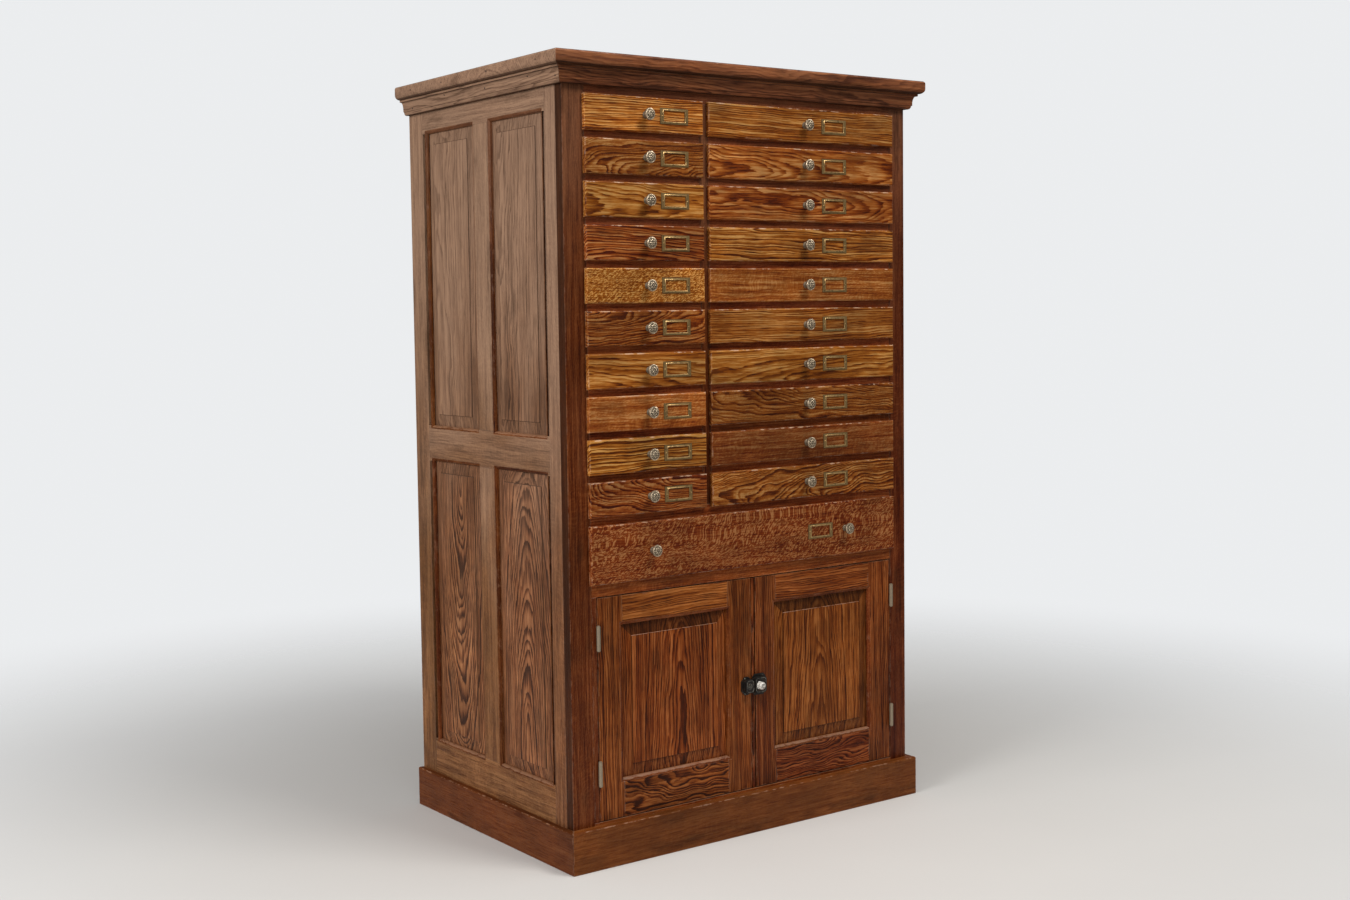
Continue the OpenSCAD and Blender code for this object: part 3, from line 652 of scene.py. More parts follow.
def wooden(node, materials, look, radius=0.8 * MM, extra=None, before=None):
    """Replaces a wooden CAD node with eased boards. extra adds more boards after the easing."""
    bm = cad_boards(node)
    if before:
        before(bm)
    ease(bm, radius)
    if extra:
        extra(bm)
    write_attributes(bm, look)
    piece = finish_mesh(node + "_wood", bm, materials)
    stand_for(piece, node)
    return piece


# ---- The carcass ----

STICKING = 8 * MM
# The square edges of boards are larger than this, in square metres, and their easing is smaller.
GAP_FACE = 0.002
MOULD = ovolo(STICKING, 0.9 * MM)


def paint_gap_shade(piece, flat):
    """Painted shade in the gaps: the larger faces across the axis flat are marked shade, so they are
    dark.
    """
    shade = piece.data.attributes.new("shade", "FLOAT", "FACE")
    for polygon in piece.data.polygons:
        if abs(polygon.normal[flat]) < 0.3 and polygon.area > GAP_FACE:
            shade.data[polygon.index].value = 1.0


def rectangle(low, high, flat):
    """Corners of a box's outline in the plane across the axis flat, at its middle."""
    a, b = [i for i in range(3) if i != flat]
    corners = []
    for u, v in ((0, 0), (1, 0), (1, 1), (0, 1)):
        co = (low + high) / 2
        co[a] = (low, high)[u][a]
        co[b] = (low, high)[v][b]
        corners.append(co)
    return corners


def panel_mouldings(panel_node, flat, out_of):
    """Adds a moulding round each panel of a node. out_of(low, high) is (face level, direction)."""

    def add(bm):
        panels = cad_boards(panel_node)
        for part in islands(panels):
            low, high = extent(part)
            level, out = out_of(low, high)
            corners = rectangle(low, high, flat)
            for corner in corners:
                corner[flat] = level
            ring_run(bm, corners, MOULD, out)
        panels.free()

    return add


frame_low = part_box("front_frame")[0]
side_low, side_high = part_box("side_frames")


def side_face(low, _high):
    """The outer face of the side that a panel belongs to."""
    if low.x < 0:
        return side_low.x, Vector((-1, 0, 0))
    return side_high.x, Vector((1, 0, 0))


def door_face(_low, _high):
    """The face of the front, where every door panel has its moulding."""
    return frame_low.y, Vector((0, -1, 0))


def sorted_look(main, mould, slot=None):
    """One look for the boards and another, on its own material if slot is given, for the mouldings."""

    def look(low, high):
        if sorted(high - low)[1] < 2 * STICKING:
            facts = mould(low, high)
            if slot is not None:
                facts["slot"] = slot
            return facts
        return main(low, high)

    return look


def shade_slopes(piece, flat, upper, lower, side, lit_edge):
    """Painted shade on the slopes of raised panels and in the angle round their fields.

    upper, lower and side say how much, slope by slope. lit_edge keeps the field's up-facing edges in the
    light edge colour, as a painted highlight.
    """
    attributes = piece.data.attributes
    shade = attributes.new("shade", "FLOAT", "FACE")
    rubbed = attributes["rubbed"]
    for polygon in piece.data.polygons:
        tilt = abs(polygon.normal[flat])
        if 0.9 < tilt < 0.995:
            rise = polygon.normal.z
            shade.data[polygon.index].value = upper if rise > 0.05 else lower if rise < -0.05 else side
        # Steps and eased edges get full painted shade, save the up-facing ones that lit_edge keeps as a
        # painted highlight.
        elif tilt <= 0.9 and not (lit_edge and polygon.normal.z > 0.1):
            shade.data[polygon.index].value = 1.0
            rubbed.data[polygon.index].value = 0.0


def side_panel_look(low, high):
    """Quiet boards above the middle rail, strongly figured ones below."""
    return (lower_panel if high.z < 1.0 else upper_panel)(low, high)


upper_panel = pick_look("upper side panels", "mild", 1.0, 0.0, 0.06)
lower_panel = pick_look("lower side panels", "pointed", 1.38, -0.003, 0.05)
side_frame = pick_look("side frames", "plain", 1.0, 0.0, 0.06)
side_mould = pick_look("side mould", "plain", 0.55)
wooden(
    "side_frames",
    [side_oak, front_oak],
    sorted_look(side_frame, side_mould, 1),
    extra=panel_mouldings("side_panels", 0, side_face),
)
side_panels = wooden("side_panels", [side_oak], side_panel_look, 1.1 * MM)
shade_slopes(side_panels, 0, 0.25, 0.25, 0.15, False)
frame_stile = pick_look("front stiles", "plain", 0.62, -0.006, 0.06)
frame_rail = pick_look("front rails", "plain", 1.25, -0.006, 0.12)


def front_frame_look(low, high):
    """Dark stiles with lighter rails between the drawers."""
    return (frame_stile if high.z - low.z > high.x - low.x else frame_rail)(low, high)


paint_gap_shade(wooden("front_frame", [front_oak], front_frame_look), 1)
wooden("back_boards", [pine], pick_look("back boards", "cathedral", 0.85, -0.022, 0.16), 2.6 * MM)
wooden("inner_boards", [pine], pick_look("inner boards", "mild", 0.8, -0.004, 0.1))
front_plinth = pick_look("front plinth", "quiet", 0.72, -0.002, 0.0)
side_plinth = pick_look("side plinth", "quiet", 0.56, -0.002, 0.0)


def plinth_look(low, high):
    """The side boards are darker than the front one."""
    return (front_plinth if high.x - low.x > high.y - low.y else side_plinth)(low, high)


wooden("plinth", [front_oak], plinth_look, 1.2 * MM)
cornice = wooden(
    "cornice", [front_oak, side_oak], pick_look("cornice", "mild", 1.12, -0.003, 0.05), 0.6 * MM
)
# Faces that look sideways take the side finish, whose lighter, greyer top is partly painted sheen.
# Near-level faces, such as the underside of the slab, get painted shade.
cornice_shade = cornice.data.attributes.new("shade", "FLOAT", "FACE")
for polygon in cornice.data.polygons:
    sideways = abs(polygon.normal.x) > abs(polygon.normal.y) + 0.1
    polygon.material_index = 1 if sideways else 0
    cornice_shade.data[polygon.index].value = 1.0 if abs(polygon.normal.z) > 0.75 else 0.0


# ---- Doors ----


def door_look(name):
    """Brown stiles, golden top rails and strongly figured bottom rails."""
    stile = pick_look(name + " stiles", "straight", 0.98, -0.002)
    top = pick_look(name + " top rail", "straight", 1.35, 0.002)
    foot = pick_look(name + " bottom rail", "swirl", 1.0, -0.003)
    middle = (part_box(name + "_frame")[0].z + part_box(name + "_frame")[1].z) / 2

    def look(low, high):
        size = high - low
        if size.z > size.x:
            return stile(low, high)
        return (foot if high.z < middle else top)(low, high)

    return sorted_look(look, pick_look(name + " moulding", "plain", 0.8, -0.004))


BEAD = 9.5 * MM
BEAD_ROUND = 3.4 * MM
QUIRK = 1.4 * MM


def cut_across(bm, geometry, level, way):
    """Keeps the part of a board on the side way (1 or -1) of the plane x = level, closed again."""
    cut = bmesh.ops.bisect_plane(
        bm, geom=geometry, plane_co=(level, 0, 0), plane_no=(-way, 0, 0), clear_outer=True
    )
    edges = [e for e in cut["geom_cut"] if isinstance(e, bmesh.types.BMEdge)]
    bmesh.ops.edgenet_fill(bm, edges=edges)


def in_order(elements, verts, links):
    """The edges or faces on some vertices, each once, in an order that never changes."""
    elements.index_update()
    return sorted({e for v in verts for e in getattr(v, links)}, key=lambda e: e.index)


def meeting_bead(bm):
    """A bead with a quirk beside it along the stile where the doors meet."""
    stile = min(islands(bm), key=lambda part: extent(part)[0].x)
    low, high = extent(stile)
    rest = [*stile, *in_order(bm.edges, stile, "link_edges"), *in_order(bm.faces, stile, "link_faces")]
    copied = bmesh.ops.duplicate(bm, geom=rest)["geom"]
    cut_across(bm, rest, low.x + BEAD + QUIRK, 1)
    cut_across(bm, copied, low.x + BEAD, -1)
    bead = min(islands(bm), key=lambda part: extent(part)[1].x)
    front = []
    for e in in_order(bm.edges, bead, "link_edges"):
        a, b = (v.co for v in e.verts)
        if abs(a.z - b.z) > 0.1 and max(a.y, b.y) < low.y + 0.1 * MM:
            front.append(e)
    round_off(bm, front, BEAD_ROUND, 4)


for side in SIDES:
    door = side + "_door"
    leaf = wooden(
        door + "_frame",
        [front_oak],
        door_look(door),
        extra=panel_mouldings(door + "_panel", 1, door_face),
        before=meeting_bead if side == "right" else None,
    )
    paint_gap_shade(leaf, 1)
    figure = pick_look(door + " panel", "cathedral", 1.3, 0.0)
    panel = wooden(door + "_panel", [front_oak], figure, 1.5 * MM)
    shade_slopes(panel, 1, 0.85, 0.4, 0.2, True)


# ---- Drawers ----

DRAWER_LOOKS = {
    "left": (
        ("straight", 1.08, 0.004),
        ("flame", 0.66, -0.006),
        ("cathedral", 0.98, 0.002),
        ("bold", 0.84, -0.006),
        ("fleck", 1.15, 0.006),
        ("flame", 0.82, -0.004),
        ("mild", 0.98, -0.001),
        ("plain", 0.88, -0.004),
        ("bold", 1.08, 0.003),
        ("flame", 0.76, -0.010),
    ),
    "right": (
        ("straight", 0.90, 0.0),
        ("cathedral", 0.88, -0.002),
        ("cathedral", 0.86, -0.004),
        ("bold", 1.0, 0.003),
        ("plain", 0.80, -0.004),
        ("straight", 0.86, -0.001),
        ("mild", 0.94, 0.0),
        ("flame", 0.70, -0.006),
        ("plain", 0.52, -0.009),
        ("flame", 0.84, -0.003),
    ),
}
FRONT, BOX = 0, 1
# Sizes that tell the boards of a drawer apart.
LONG_SIDE = 500 * MM
THIN_SIDE = 12 * MM
THIN_CROSS = 15 * MM
# Drawer fronts stand further out than this before the face of the front frame.
LIP = 2 * MM
TAIL_PITCH = 20 * MM
TAIL_END = 0.40
TAIL_SHOULDER = 0.31
GLUE_LINE = 0.12 * MM


def tails(low, high):
    """Middles of the tails up a corner, and their half widths at the end and at the shoulder."""
    count = round((high.z - low.z) / TAIL_PITCH)
    pitch = (high.z - low.z) / count
    middles = [low.z + pitch * (k + 0.5) for k in range(count)]
    return middles, TAIL_END * pitch, TAIL_SHOULDER * pitch


def tailed_side(bm, low, high, shoulders):
    """A box side whose ends are cut into dovetails. shoulders are the depths where they start."""
    middles, wide, narrow = tails(low, high)
    outline = []
    for shoulder, end, way in ((shoulders[0], low.y, 1), (shoulders[1], high.y, -1)):
        edge = [(shoulder, low.z)]
        for z in middles:
            edge += [(shoulder, z - narrow), (end, z - wide), (end, z + wide), (shoulder, z + narrow)]
        outline += [*edge, (shoulder, high.z)][::way]
    solid(bm, outline, 0, low.x, high.x)


def pins(bm, low, high, shoulder, end):
    """The ends of a cross board that fill the gaps between a side's tails, from depth shoulder to end."""
    middles, wide, narrow = tails(low, high)
    stops = [None, *middles, None]
    for below, above in zip(stops, stops[1:]):
        bottom = (low.z, low.z)
        if below is not None:
            bottom = (below + narrow + GLUE_LINE, below + wide + GLUE_LINE)
        top = (high.z, high.z)
        if above is not None:
            top = (above - narrow - GLUE_LINE, above - wide - GLUE_LINE)
        outline = [(shoulder, bottom[0]), (end, bottom[1]), (end, top[1]), (shoulder, top[0])]
        solid(bm, outline, 0, low.x, high.x)


def dovetail_box(bm):
    """Cuts the plain corners of a drawer's box into dovetails."""
    boards = [extent(part) for part in islands(bm)]
    sides = [b for b in boards if b[1].y - b[0].y > LONG_SIDE and b[1].x - b[0].x < THIN_SIDE]
    cross = [b for b in boards if b[1].y - b[0].y < THIN_CROSS and b[0].y > frame_low.y - LIP]
    shoulders = (min(b[1].y for b in cross), max(b[0].y for b in cross))
    drop(bm, lambda low, high: any((low - b[0]).length < 0.1 * MM for b in sides))
    for low, high in sides:
        tailed_side(bm, low, high, shoulders)
        pins(bm, low, high, shoulders[0], low.y)
        pins(bm, low, high, shoulders[1], high.y)


def drawer(node, style, value, warmth):
    """One drawer: the figured front, and a box of secondary wood with dovetailed corners."""
    front = pick_look(node, style, value, warmth, 0.02)
    box = pick_look(node + " box", "mild", 0.88, -0.003)

    def look(low, high):
        in_front = low.y < frame_low.y - LIP
        facts = front(low, high) if in_front else box(low, high)
        facts["slot"] = FRONT if in_front else BOX
        if high.y - low.y < THIN_CROSS and high.x - low.x < THIN_SIDE:
            facts["grain"] = 0
        return facts

    wooden(node, [drawer_oak, pine], look, 0.5 * MM, before=dovetail_box)


for side in SIDES:
    for row in range(ROWS):
        drawer(f"{side}_drawer_{row + 1}", *DRAWER_LOOKS[side][row])
drawer("wide_drawer", "fleck", 0.68, -0.010)


# ---- Metalwork ----

# Sections are lists of (radius or share, height above the surface), in mm unless said otherwise.
PULL_RIM = 12.0 * MM
PULL_DOME = 3.2 * MM
PULL_RELIEF = 1.4 * MM
PULL_TURNS = 96
PULL_RINGS = 15
PULL_BACK = (
    (0.0, -25.6),
    (1.7, -25.6),
    (2.0, -25.2),
    (2.0, -0.4),
    (7.0, -0.1),
    (7.3, 0.5),
    (7.1, 1.3),
    (6.2, 2.1),
    (5.3, 3.2),
    (4.8, 4.6),
    (4.7, 6.4),
    (5.1, 8.4),
    (6.2, 10.2),
    (8.4, 11.8),
    (11.2, 12.9),
    (12.4, 13.9),
    (12.7, 15.0),
    (12.5, 16.1),
)
PULL_FACE = 16.6 * MM
HOLDER_PLATE = ((0.0, 0.1), (0.0, 0.8), (0.25, 1.1), (0.9, 1.1), (1.0, 0.8), (1.0, 0.1))
HOLDER_RIM = ((0.0, 0.1), (0.0, 1.3), (0.18, 2.0), (0.45, 2.4), (0.75, 2.2), (1.0, 1.5), (1.0, 0.1))
HOLDER_WINDOW = (27.5 * MM, 11.1 * MM)
HOLDER_OUTER = (36.5 * MM, 16.5 * MM)
HOLDER_RIM_WIDTH = 2.7 * MM
HOLDER_PIN = 32 * MM
PIN_HEAD = ((0.0, 0.4), (1.7, 0.4), (1.7, 1.2), (1.4, 1.8), (0.8, 2.2), (0.0, 2.35))
NUT_RADIUS = 4 * MM
KNOB_SCREW = ((0.0, -1.5), (2.1, -1.5), (2.1, 0.0), (1.2, 0.5), (0.0, 0.6))
KNOB_ROSE = (
    (0.0, -0.5),
    (8.6, -0.5),
    (8.8, 0.2),
    (8.2, 0.9),
    (6.8, 1.3),
    (5.6, 2.1),
    (4.0, 2.6),
    (0.0, 2.6),
)
SCREW_HEAD = ((0.0, -0.6), (1.9, -0.6), (1.9, 0.2), (1.5, 0.7), (0.7, 1.0), (0.0, 1.05))


def relief_layer(bm):
    """The layer that says how high each vertex stands in the relief, for the patina."""
    return bm.verts.layers.float.get("relief") or bm.verts.layers.float.new("relief")


def in_mm(section):
    """A section written in millimetres, in metres."""
    return [(r * MM, out * MM) for r, out in section]


def spun(bm, outline, turns, place, lift=None, depth=0.0):
    """A turned solid that points to the front. outline is (radius, out) from its back to its front.

    lift(radius, angle) is the height, 0 to 1, of a relief of the given depth on the last rings.
    """
    relief = relief_layer(bm)
    rings = []
    made = []
    for radius, out in outline:
        count = turns if radius > 0 else 1
        ring = []
        for k in range(count):
            angle = 2 * math.pi * k / turns
            raised = lift(radius, angle, out) if lift else 1.0
            co = Vector((radius * math.cos(angle), -out - depth * raised, radius * math.sin(angle)))
            vert = bm.verts.new(place + co)
            vert[relief] = raised
            ring.append(vert)
        rings.append(ring)
    for a, b in zip(rings, rings[1:]):
        for k in range(turns):
            j = (k + 1) % turns
            corners = [a[k % len(a)], b[k % len(b)], b[j % len(b)], a[j % len(a)]]
            made.append(bm.faces.new(dict.fromkeys(corners)))
    bmesh.ops.recalc_face_normals(bm, faces=made)


def flower(radius, angle):
    """The pull's cast pattern: a button, eight petals, a ring of beads and a roped rim."""
    r = radius / MM
    if r < 2.4:
        return 0.55 + 0.45 * math.cos(math.pi * r / 2.4)
    if r < 7.6:
        across = abs(math.cos(4 * angle)) ** 0.8
        return across * math.sin(math.pi * (r - 2.4) / 5.2) ** 0.6
    if r < 10.0:
        bead = max(0.0, math.cos(16 * angle))
        return 0.15 + 0.85 * bead * math.sin(math.pi * (r - 7.6) / 2.4)
    return 0.78 + 0.22 * math.cos(32 * angle)


def pull_section():
    """The pull from its screw's end, round the head, to the middle of its face."""
    section = in_mm(PULL_BACK)
    for k in range(PULL_RINGS + 1):
        r = PULL_RIM * (1 - k / PULL_RINGS)
        section.append((r, PULL_FACE + PULL_DOME * (1 - (r / PULL_RIM) ** 2)))
    return section


def join_loops(bm, loops):
    """Faces between each loop of vertices and the next, and from the last back to the first."""
    made = []
    sides = len(loops[0])
    for a, b in zip(loops, loops[1:] + loops[:1]):
        for k in range(sides):
            j = (k + 1) % sides
            made.append(bm.faces.new((a[k], b[k], b[j], a[j])))
    bmesh.ops.recalc_face_normals(bm, faces=made)


def window_frame(bm, outer, inner, section, place):
    """A mitred frame facing the front between two half sizes; section is (0 outside..1, out in mm)."""
    relief = relief_layer(bm)
    loops = []
    for share, out in section:
        half_x = outer[0] + (inner[0] - outer[0]) * share
        half_z = outer[1] + (inner[1] - outer[1]) * share
        loop = []
        for x, z in ((-1, -1), (1, -1), (1, 1), (-1, 1)):
            vert = bm.verts.new(place + Vector((x * half_x, -out * MM, z * half_z)))
            vert[relief] = min(1.0, out / 2.2)
            loop.append(vert)
        loops.append(loop)
    join_loops(bm, loops)


def metal_piece(name, bm, material, nodes, body, angle=40.0):
    """Finishes a piece of metalwork that rides a body and may stand for CAD nodes."""
    seed = bm.verts.layers.float_vector.new("seed")
    shift = Vector([random.Random(name).uniform(1, 9) for _ in range(3)])
    for v in bm.verts:
        v[seed] = shift
    piece = finish_mesh(name, bm, [material], angle)
    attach(piece, body)
    if nodes:
        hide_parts(*nodes)


def add_pull(bm, place):
    """An embossed pull, its screw through the drawer's front."""

    def lift(radius, angle, out):
        """The flower, on the face alone."""
        return flower(radius, angle) if out >= PULL_FACE else 0.0

    spun(bm, pull_section(), PULL_TURNS, place, lift, PULL_RELIEF)
    relief = relief_layer(bm)
    for v in bm.verts:
        if v.co.y > place.y - PULL_FACE:
            v[relief] = 0.3


def pulls_and_holders(node, front_node):
    """Embossed pulls and card holders where the CAD has its plain ones."""
    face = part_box(front_node)[0].y
    pulls = bmesh.new()
    holders = bmesh.new()
    cad = cad_boards(node)
    for part in islands(cad):
        low, high = extent(part)
        middle = (low + high) / 2
        place = Vector((middle.x, face, middle.z))
        if high.y - low.y > 40 * MM:
            add_pull(pulls, place)
            turns = [math.pi / 3 * k for k in range(6)]
            outline = [
                (place.x + NUT_RADIUS * math.cos(a), place.z + NUT_RADIUS * math.sin(a)) for a in turns
            ]
            solid(pulls, outline, 1, high.y - 5 * MM, high.y - 1.5 * MM)
        else:
            rim_outer = [h + HOLDER_RIM_WIDTH for h in HOLDER_WINDOW]
            plate_inner = [h + 0.6 * MM for h in HOLDER_WINDOW]
            window_frame(holders, HOLDER_OUTER, plate_inner, HOLDER_PLATE, place)
            window_frame(holders, rim_outer, HOLDER_WINDOW, HOLDER_RIM, place)
            for way in (-1, 1):
                pin = place + Vector((way * HOLDER_PIN, 0, 0))
                spun(holders, in_mm(PIN_HEAD), 16, pin)
    cad.free()
    body = body_of_node[node]
    metal_piece(node + "_head", pulls, brass, [node], body)
    metal_piece(node + "_holder", holders, holder_brass, [node], body)


pulls_and_holders("wide_drawer_pulls", "wide_drawer")
for side in SIDES:
    for row in range(ROWS):
        pulls_and_holders(f"{side}_pull_{row + 1}", f"{side}_drawer_{row + 1}")


def carry(node, material):
    """A CAD node whose shape is right keeps it, and gets a worked material."""
    mesh = frame["nodes"][node].data
    mesh.materials.clear()
    mesh.materials.append(material)


for hinge in ("hinge_frame_leaves", "left_door_hinges", "right_door_hinges"):
    carry(hinge, steel)
for part in ("latch_case", "latch_keeper", "latch_bolt"):
    carry(part, iron)


def clipped(half_x, half_z, cut):
    """A rectangle with clipped corners, as (x, z) round it."""
    return [
        (-half_x + cut, -half_z),
        (half_x - cut, -half_z),
        (half_x, -half_z + cut),
        (half_x, half_z - cut),
        (half_x - cut, half_z),
        (-half_x + cut, half_z),
        (-half_x, half_z - cut),
        (-half_x, -half_z + cut),
    ]


def raised_band(bm, sizes, place, height):
    """A rounded bead along a clipped rectangle: sizes are (half x, half z, clip, bead width)."""
    half_x, half_z, cut, width = sizes
    relief = relief_layer(bm)
    loops = []
    for share, out in ((0.0, -0.3), (0.1, 0.6), (0.5, 1.0), (0.9, 0.6), (1.0, -0.3)):
        inset = share * width
        loop = clipped(half_x - inset, half_z - inset, cut - 0.41 * inset)
        verts = [bm.verts.new(place + Vector((x, -out * height, z))) for x, z in loop]
        for v in verts:
            v[relief] = max(0.0, out)
        loops.append(verts)
    join_loops(bm, loops)


def rosette(radius, angle, _out):
    """A six-lobed relief."""
    return 0.5 + 0.5 * math.cos(6 * angle) * math.sin(math.pi * min(1.0, radius / (8 * MM)))


def latch_ornament(node, band, boss, screws):
    """A cast band, a boss and screws on the face of a latch's CAD casting.

    band is (x, half width, half height) and boss is (x, radius), clear of the knob's spindle.
    """
    low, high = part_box(node)
    middle = (low + high) / 2
    bm = bmesh.new()
    x, half_x, half_z = band
    raised_band(bm, (half_x, half_z, 4 * MM, 1.8 * MM), Vector((x, low.y, middle.z)), 0.9 * MM)
    x, radius = boss
    section = [
        (0.0, -0.4 * MM),
        (radius, -0.4 * MM),
        (radius - 0.4 * MM, 0.4 * MM),
        (0.6 * radius, 0.9 * MM),
        (0.0, 1.1 * MM),
    ]
    spun(bm, section, 24, Vector((x, low.y, middle.z)), rosette, 0.5 * MM)
    for x, z in screws:
        place = Vector((x, high.y - 2.5 * MM, middle.z + z))
        spun(bm, in_mm(SCREW_HEAD), 16, place)
    metal_piece(node + "_casting", bm, iron, [], body_of_node[node])


case_low, case_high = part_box("latch_case")
keeper_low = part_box("latch_keeper")[0]
knob_low, knob_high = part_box("latch_knob")
spindle_x = (knob_low.x + knob_high.x) / 2
# The rose turns with the knob, so it stands clear of the band and the boss on the case.
ROSE_STANDOFF = 2.3 * MM
latch_ornament(
    "latch_case",
    (case_low.x + 16 * MM, 14.6 * MM, 16 * MM),
    (case_low.x + 24.2 * MM, 4.4 * MM),
    [(case_high.x - 8 * MM, z) for z in (-19.5 * MM, 19.5 * MM)],
)
latch_ornament(
    "latch_keeper",
    (keeper_low.x + 17.5 * MM, 10 * MM, 13.5 * MM),
    (keeper_low.x + 17.5 * MM, 7 * MM),
    [(keeper_low.x + 9.7 * MM, z) for z in (-17 * MM, 17 * MM)],
)


def porcelain_knob():
    """The CAD's knob with a glazed head, and a screw in its middle and a rose round its spindle."""
    bm = cad_boards("latch_knob")
    neck = case_low.y - 2 * MM
    for f in bm.faces:
        f.material_index = 0 if f.calc_center_median().y < neck else 1
    count = len(bm.faces)
    front = Vector((spindle_x, knob_low.y, (knob_low.z + knob_high.z) / 2))
    spun(bm, in_mm(KNOB_SCREW), 20, front)
    spun(bm, in_mm(KNOB_ROSE), 36, Vector((spindle_x, case_low.y - ROSE_STANDOFF, front.z)))
    bm.faces.ensure_lookup_table()
    for f in bm.faces[count:]:
        f.material_index = 1
    piece = finish_mesh("latch_knob_turned", bm, [porcelain, iron], 40.0)
    stand_for(piece, "latch_knob")


porcelain_knob()


# ---- Nails ----

NAIL = ((0.0, -0.8), (1.0, -0.8), (1.0, 0.05), (0.8, 0.18), (0.0, 0.25))


def nails(name, node, spots, out, radius):
    """Nail heads driven into the CAD surface of a node where rays sent against out meet it."""
    bm = bmesh.new()
    source = cad_boards(node)
    surface = BVHTree.FromBMesh(source)
    source.free()
    for spot in spots:
        at, normal = surface.ray_cast(spot + out, -out)[:2]
        first = len(bm.verts)
        spun(bm, [(r * radius, h * radius) for r, h in NAIL], 14, Vector())
        bm.verts.ensure_lookup_table()
        tilt = Vector((0, -1, 0)).rotation_difference(normal)
        relief = relief_layer(bm)
        for v in bm.verts[first:]:
            v.co = at + tilt @ v.co
            v[relief] = 0.0
    metal_piece(name, bm, iron, [], body_of_node[node])


cornice_low, cornice_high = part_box("cornice")
slab_z = cornice_high.z - 14 * MM
cove_z = cornice_low.z + 20 * MM
left_out = Vector((-1, 0, 0))
slab_nails = [Vector((0, y, slab_z)) for y in (-0.26, -0.07, 0.12, 0.26)]
COVE_SPOTS = ((-0.3, -0.006), (-0.2, 0.004), (-0.03, 0.0), (0.14, 0.005), (0.29, -0.008))
cove_nails = [Vector((0, y, cove_z + dz)) for y, dz in COVE_SPOTS]
nails("cornice_left_nails", "cornice", slab_nails + cove_nails, left_out, 2.0 * MM)
nails("cornice_right_nails", "cornice", slab_nails + cove_nails, -left_out, 2.0 * MM)
# Two nails side by side in each back board, in four rows.
BACK_PITCH = 129.4 * MM
BACK_NAIL_OFFSET = 35 * MM
back_nails = [
    Vector((board * BACK_PITCH + side * BACK_NAIL_OFFSET, 0, z))
    for board in range(-3, 4)
    for side in (-1, 1)
    for z in (0.05, 0.58, 0.72, 1.60)
]
nails("back_nails", "back_boards", back_nails, Vector((0, 1, 0)), 2.6 * MM)


# ---- Floor, light and camera ----

# Distances from the cabinet's middle where the floor starts to thin out, and where it ends.
FLOOR_SOLID = 0.7
FLOOR_ENDS = 3.1
CAMERA_PLACE = (-2.3534, -3.1173, 1.1489)
CAMERA_TURN = (-34.805, -3.982, -0.895)
LENS = 44.8
SENSOR = 36.0
LENS_SHIFT = (0.0556, -0.0148)


def pale_floor():
    """A pale floor that thins out into the pale surround, so that no horizon shows."""
    n = Nodes("PaleFloor")
    at = n.add("TexCoord", {}).outputs["Object"]
    soft = n.noise(at, (1.5, 1.5, 1.5), 3)[0]
    n.feed(n.shader.inputs["Base Color"], n.mix(soft, (0.78, 0.765, 0.74), (0.82, 0.805, 0.78)))
    n.feed(n.shader.inputs["Roughness"], n.scale(soft, 0.6, 0.75))
    away = n.add("VectorMath", {0: at}, operation="LENGTH").outputs["Value"]
    n.feed(n.shader.inputs["Alpha"], n.band(away, FLOOR_ENDS, FLOOR_SOLID))
    return n.material


def floor():
    """A flat round floor under the cabinet."""
    bm = bmesh.new()
    bmesh.ops.create_circle(bm, cap_ends=True, segments=96, radius=FLOOR_ENDS)
    mesh = bpy.data.meshes.new("Floor")
    bm.to_mesh(mesh)
    bm.free()
    mesh.materials.append(pale_floor())
    obj = bpy.data.objects.new("Floor", mesh)
    bpy.context.scene.collection.objects.link(obj)


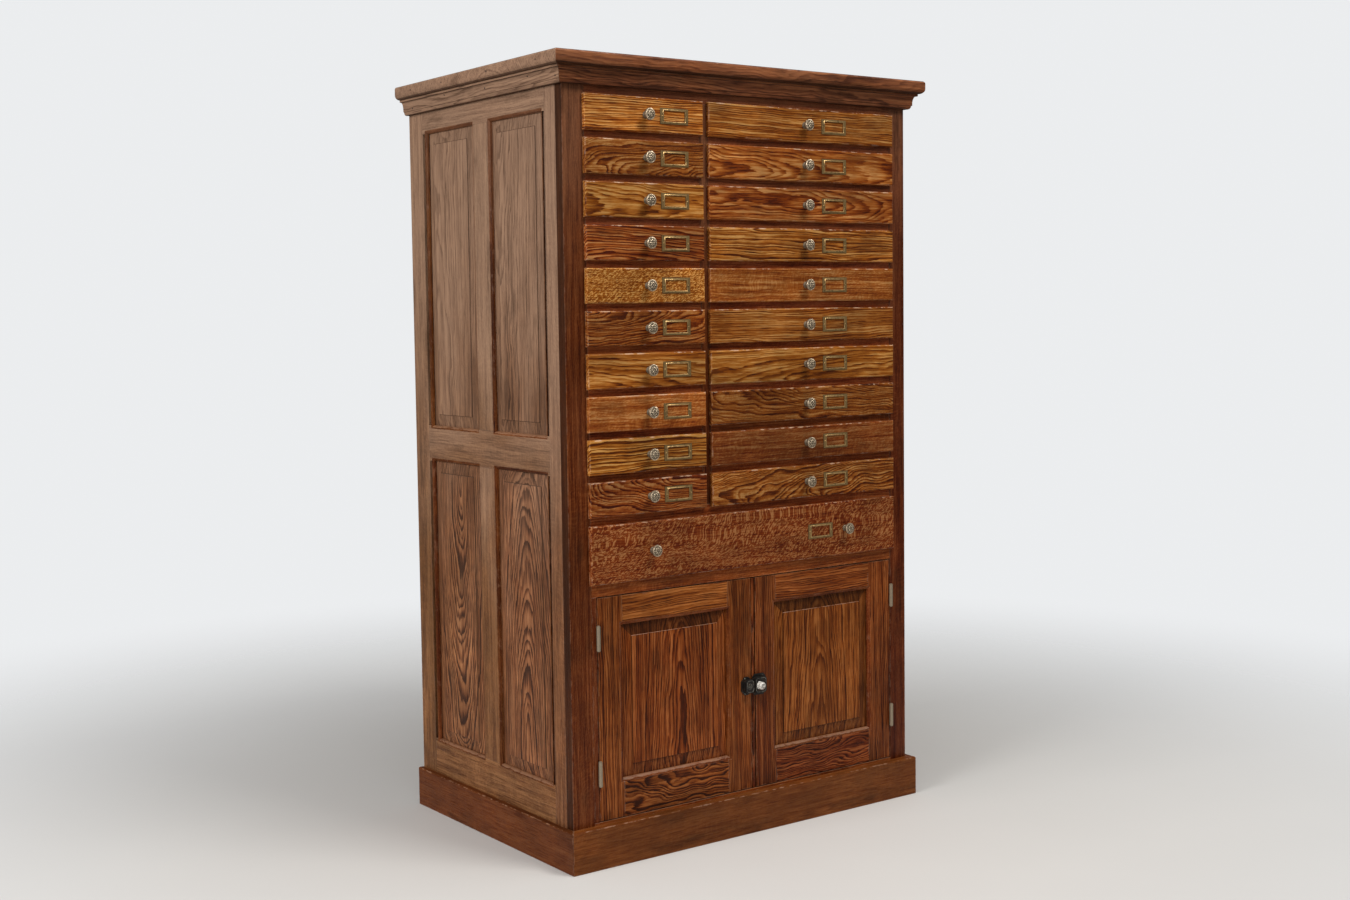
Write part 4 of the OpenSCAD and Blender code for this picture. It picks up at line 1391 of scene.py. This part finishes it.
def softbox(name, place, aim, size, power, colour):
    """A soft light of size (width, height) at place, turned to aim, which doesn't show itself."""
    light = bpy.data.lights.new(name, "AREA")
    light.shape = "RECTANGLE"
    light.size, light.size_y = size
    light.energy = power
    light.color = colour
    obj = bpy.data.objects.new(name, light)
    bpy.context.scene.collection.objects.link(obj)
    obj.visible_camera = False
    obj.location = place
    obj.rotation_euler = (Vector(aim) - Vector(place)).to_track_quat("-Z", "Y").to_euler()


def camera():
    """The viewpoint, as a place and a turn of yaw, pitch and roll in degrees."""
    yaw, pitch, roll = (math.radians(a) for a in CAMERA_TURN)
    look = Vector((-math.sin(yaw) * math.cos(pitch), math.cos(yaw) * math.cos(pitch), math.sin(pitch)))
    level = Vector((math.cos(yaw), math.sin(yaw), 0.0))
    lit_from_above = level.cross(look)
    right = level * math.cos(roll) + lit_from_above * math.sin(roll)
    up = lit_from_above * math.cos(roll) - level * math.sin(roll)
    turn = Matrix((right, up, -look)).transposed().to_4x4()
    data = bpy.data.cameras.new("Camera")
    data.lens = LENS
    data.sensor_width = SENSOR
    data.shift_x, data.shift_y = LENS_SHIFT
    obj = bpy.data.objects.new("Camera", data)
    bpy.context.scene.collection.objects.link(obj)
    obj.matrix_world = Matrix.Translation(CAMERA_PLACE) @ turn
    bpy.context.scene.camera = obj


def studio_world(lit, seen):
    """An even pale surround: lit is how bright it is as a light, seen how bright it looks behind."""
    world = bpy.data.worlds.new("Studio")
    world.use_nodes = True
    tree = world.node_tree
    background = tree.nodes["Background"]
    background.inputs["Color"].default_value = (0.97, 0.985, 1.0, 1.0)
    path = tree.nodes.new("ShaderNodeLightPath")
    strength = tree.nodes.new("ShaderNodeMapRange")
    tree.links.new(path.outputs["Is Camera Ray"], strength.inputs["Value"])
    strength.inputs["To Min"].default_value = lit
    strength.inputs["To Max"].default_value = seen
    tree.links.new(strength.outputs["Result"], background.inputs["Strength"])
    bpy.context.scene.world = world


floor()
softbox("Key", (0.9, -2.6, 4.7), (0.0, -0.2, 0.9), (1.6, 1.6), 92.0, (1.0, 0.97, 0.93))
softbox("Fill", (-4.9, -0.8, 2.8), (0.0, 0.0, 0.9), (2.6, 2.6), 160.0, (1.0, 0.985, 0.97))
softbox("Ceiling", (0.0, -0.6, 3.6), (0.0, -0.2, 1.0), (3.2, 2.0), 42.0, (1.0, 0.99, 0.97))
studio_world(0.15, 0.86)
bpy.context.scene.view_settings.view_transform = "Standard"
camera()
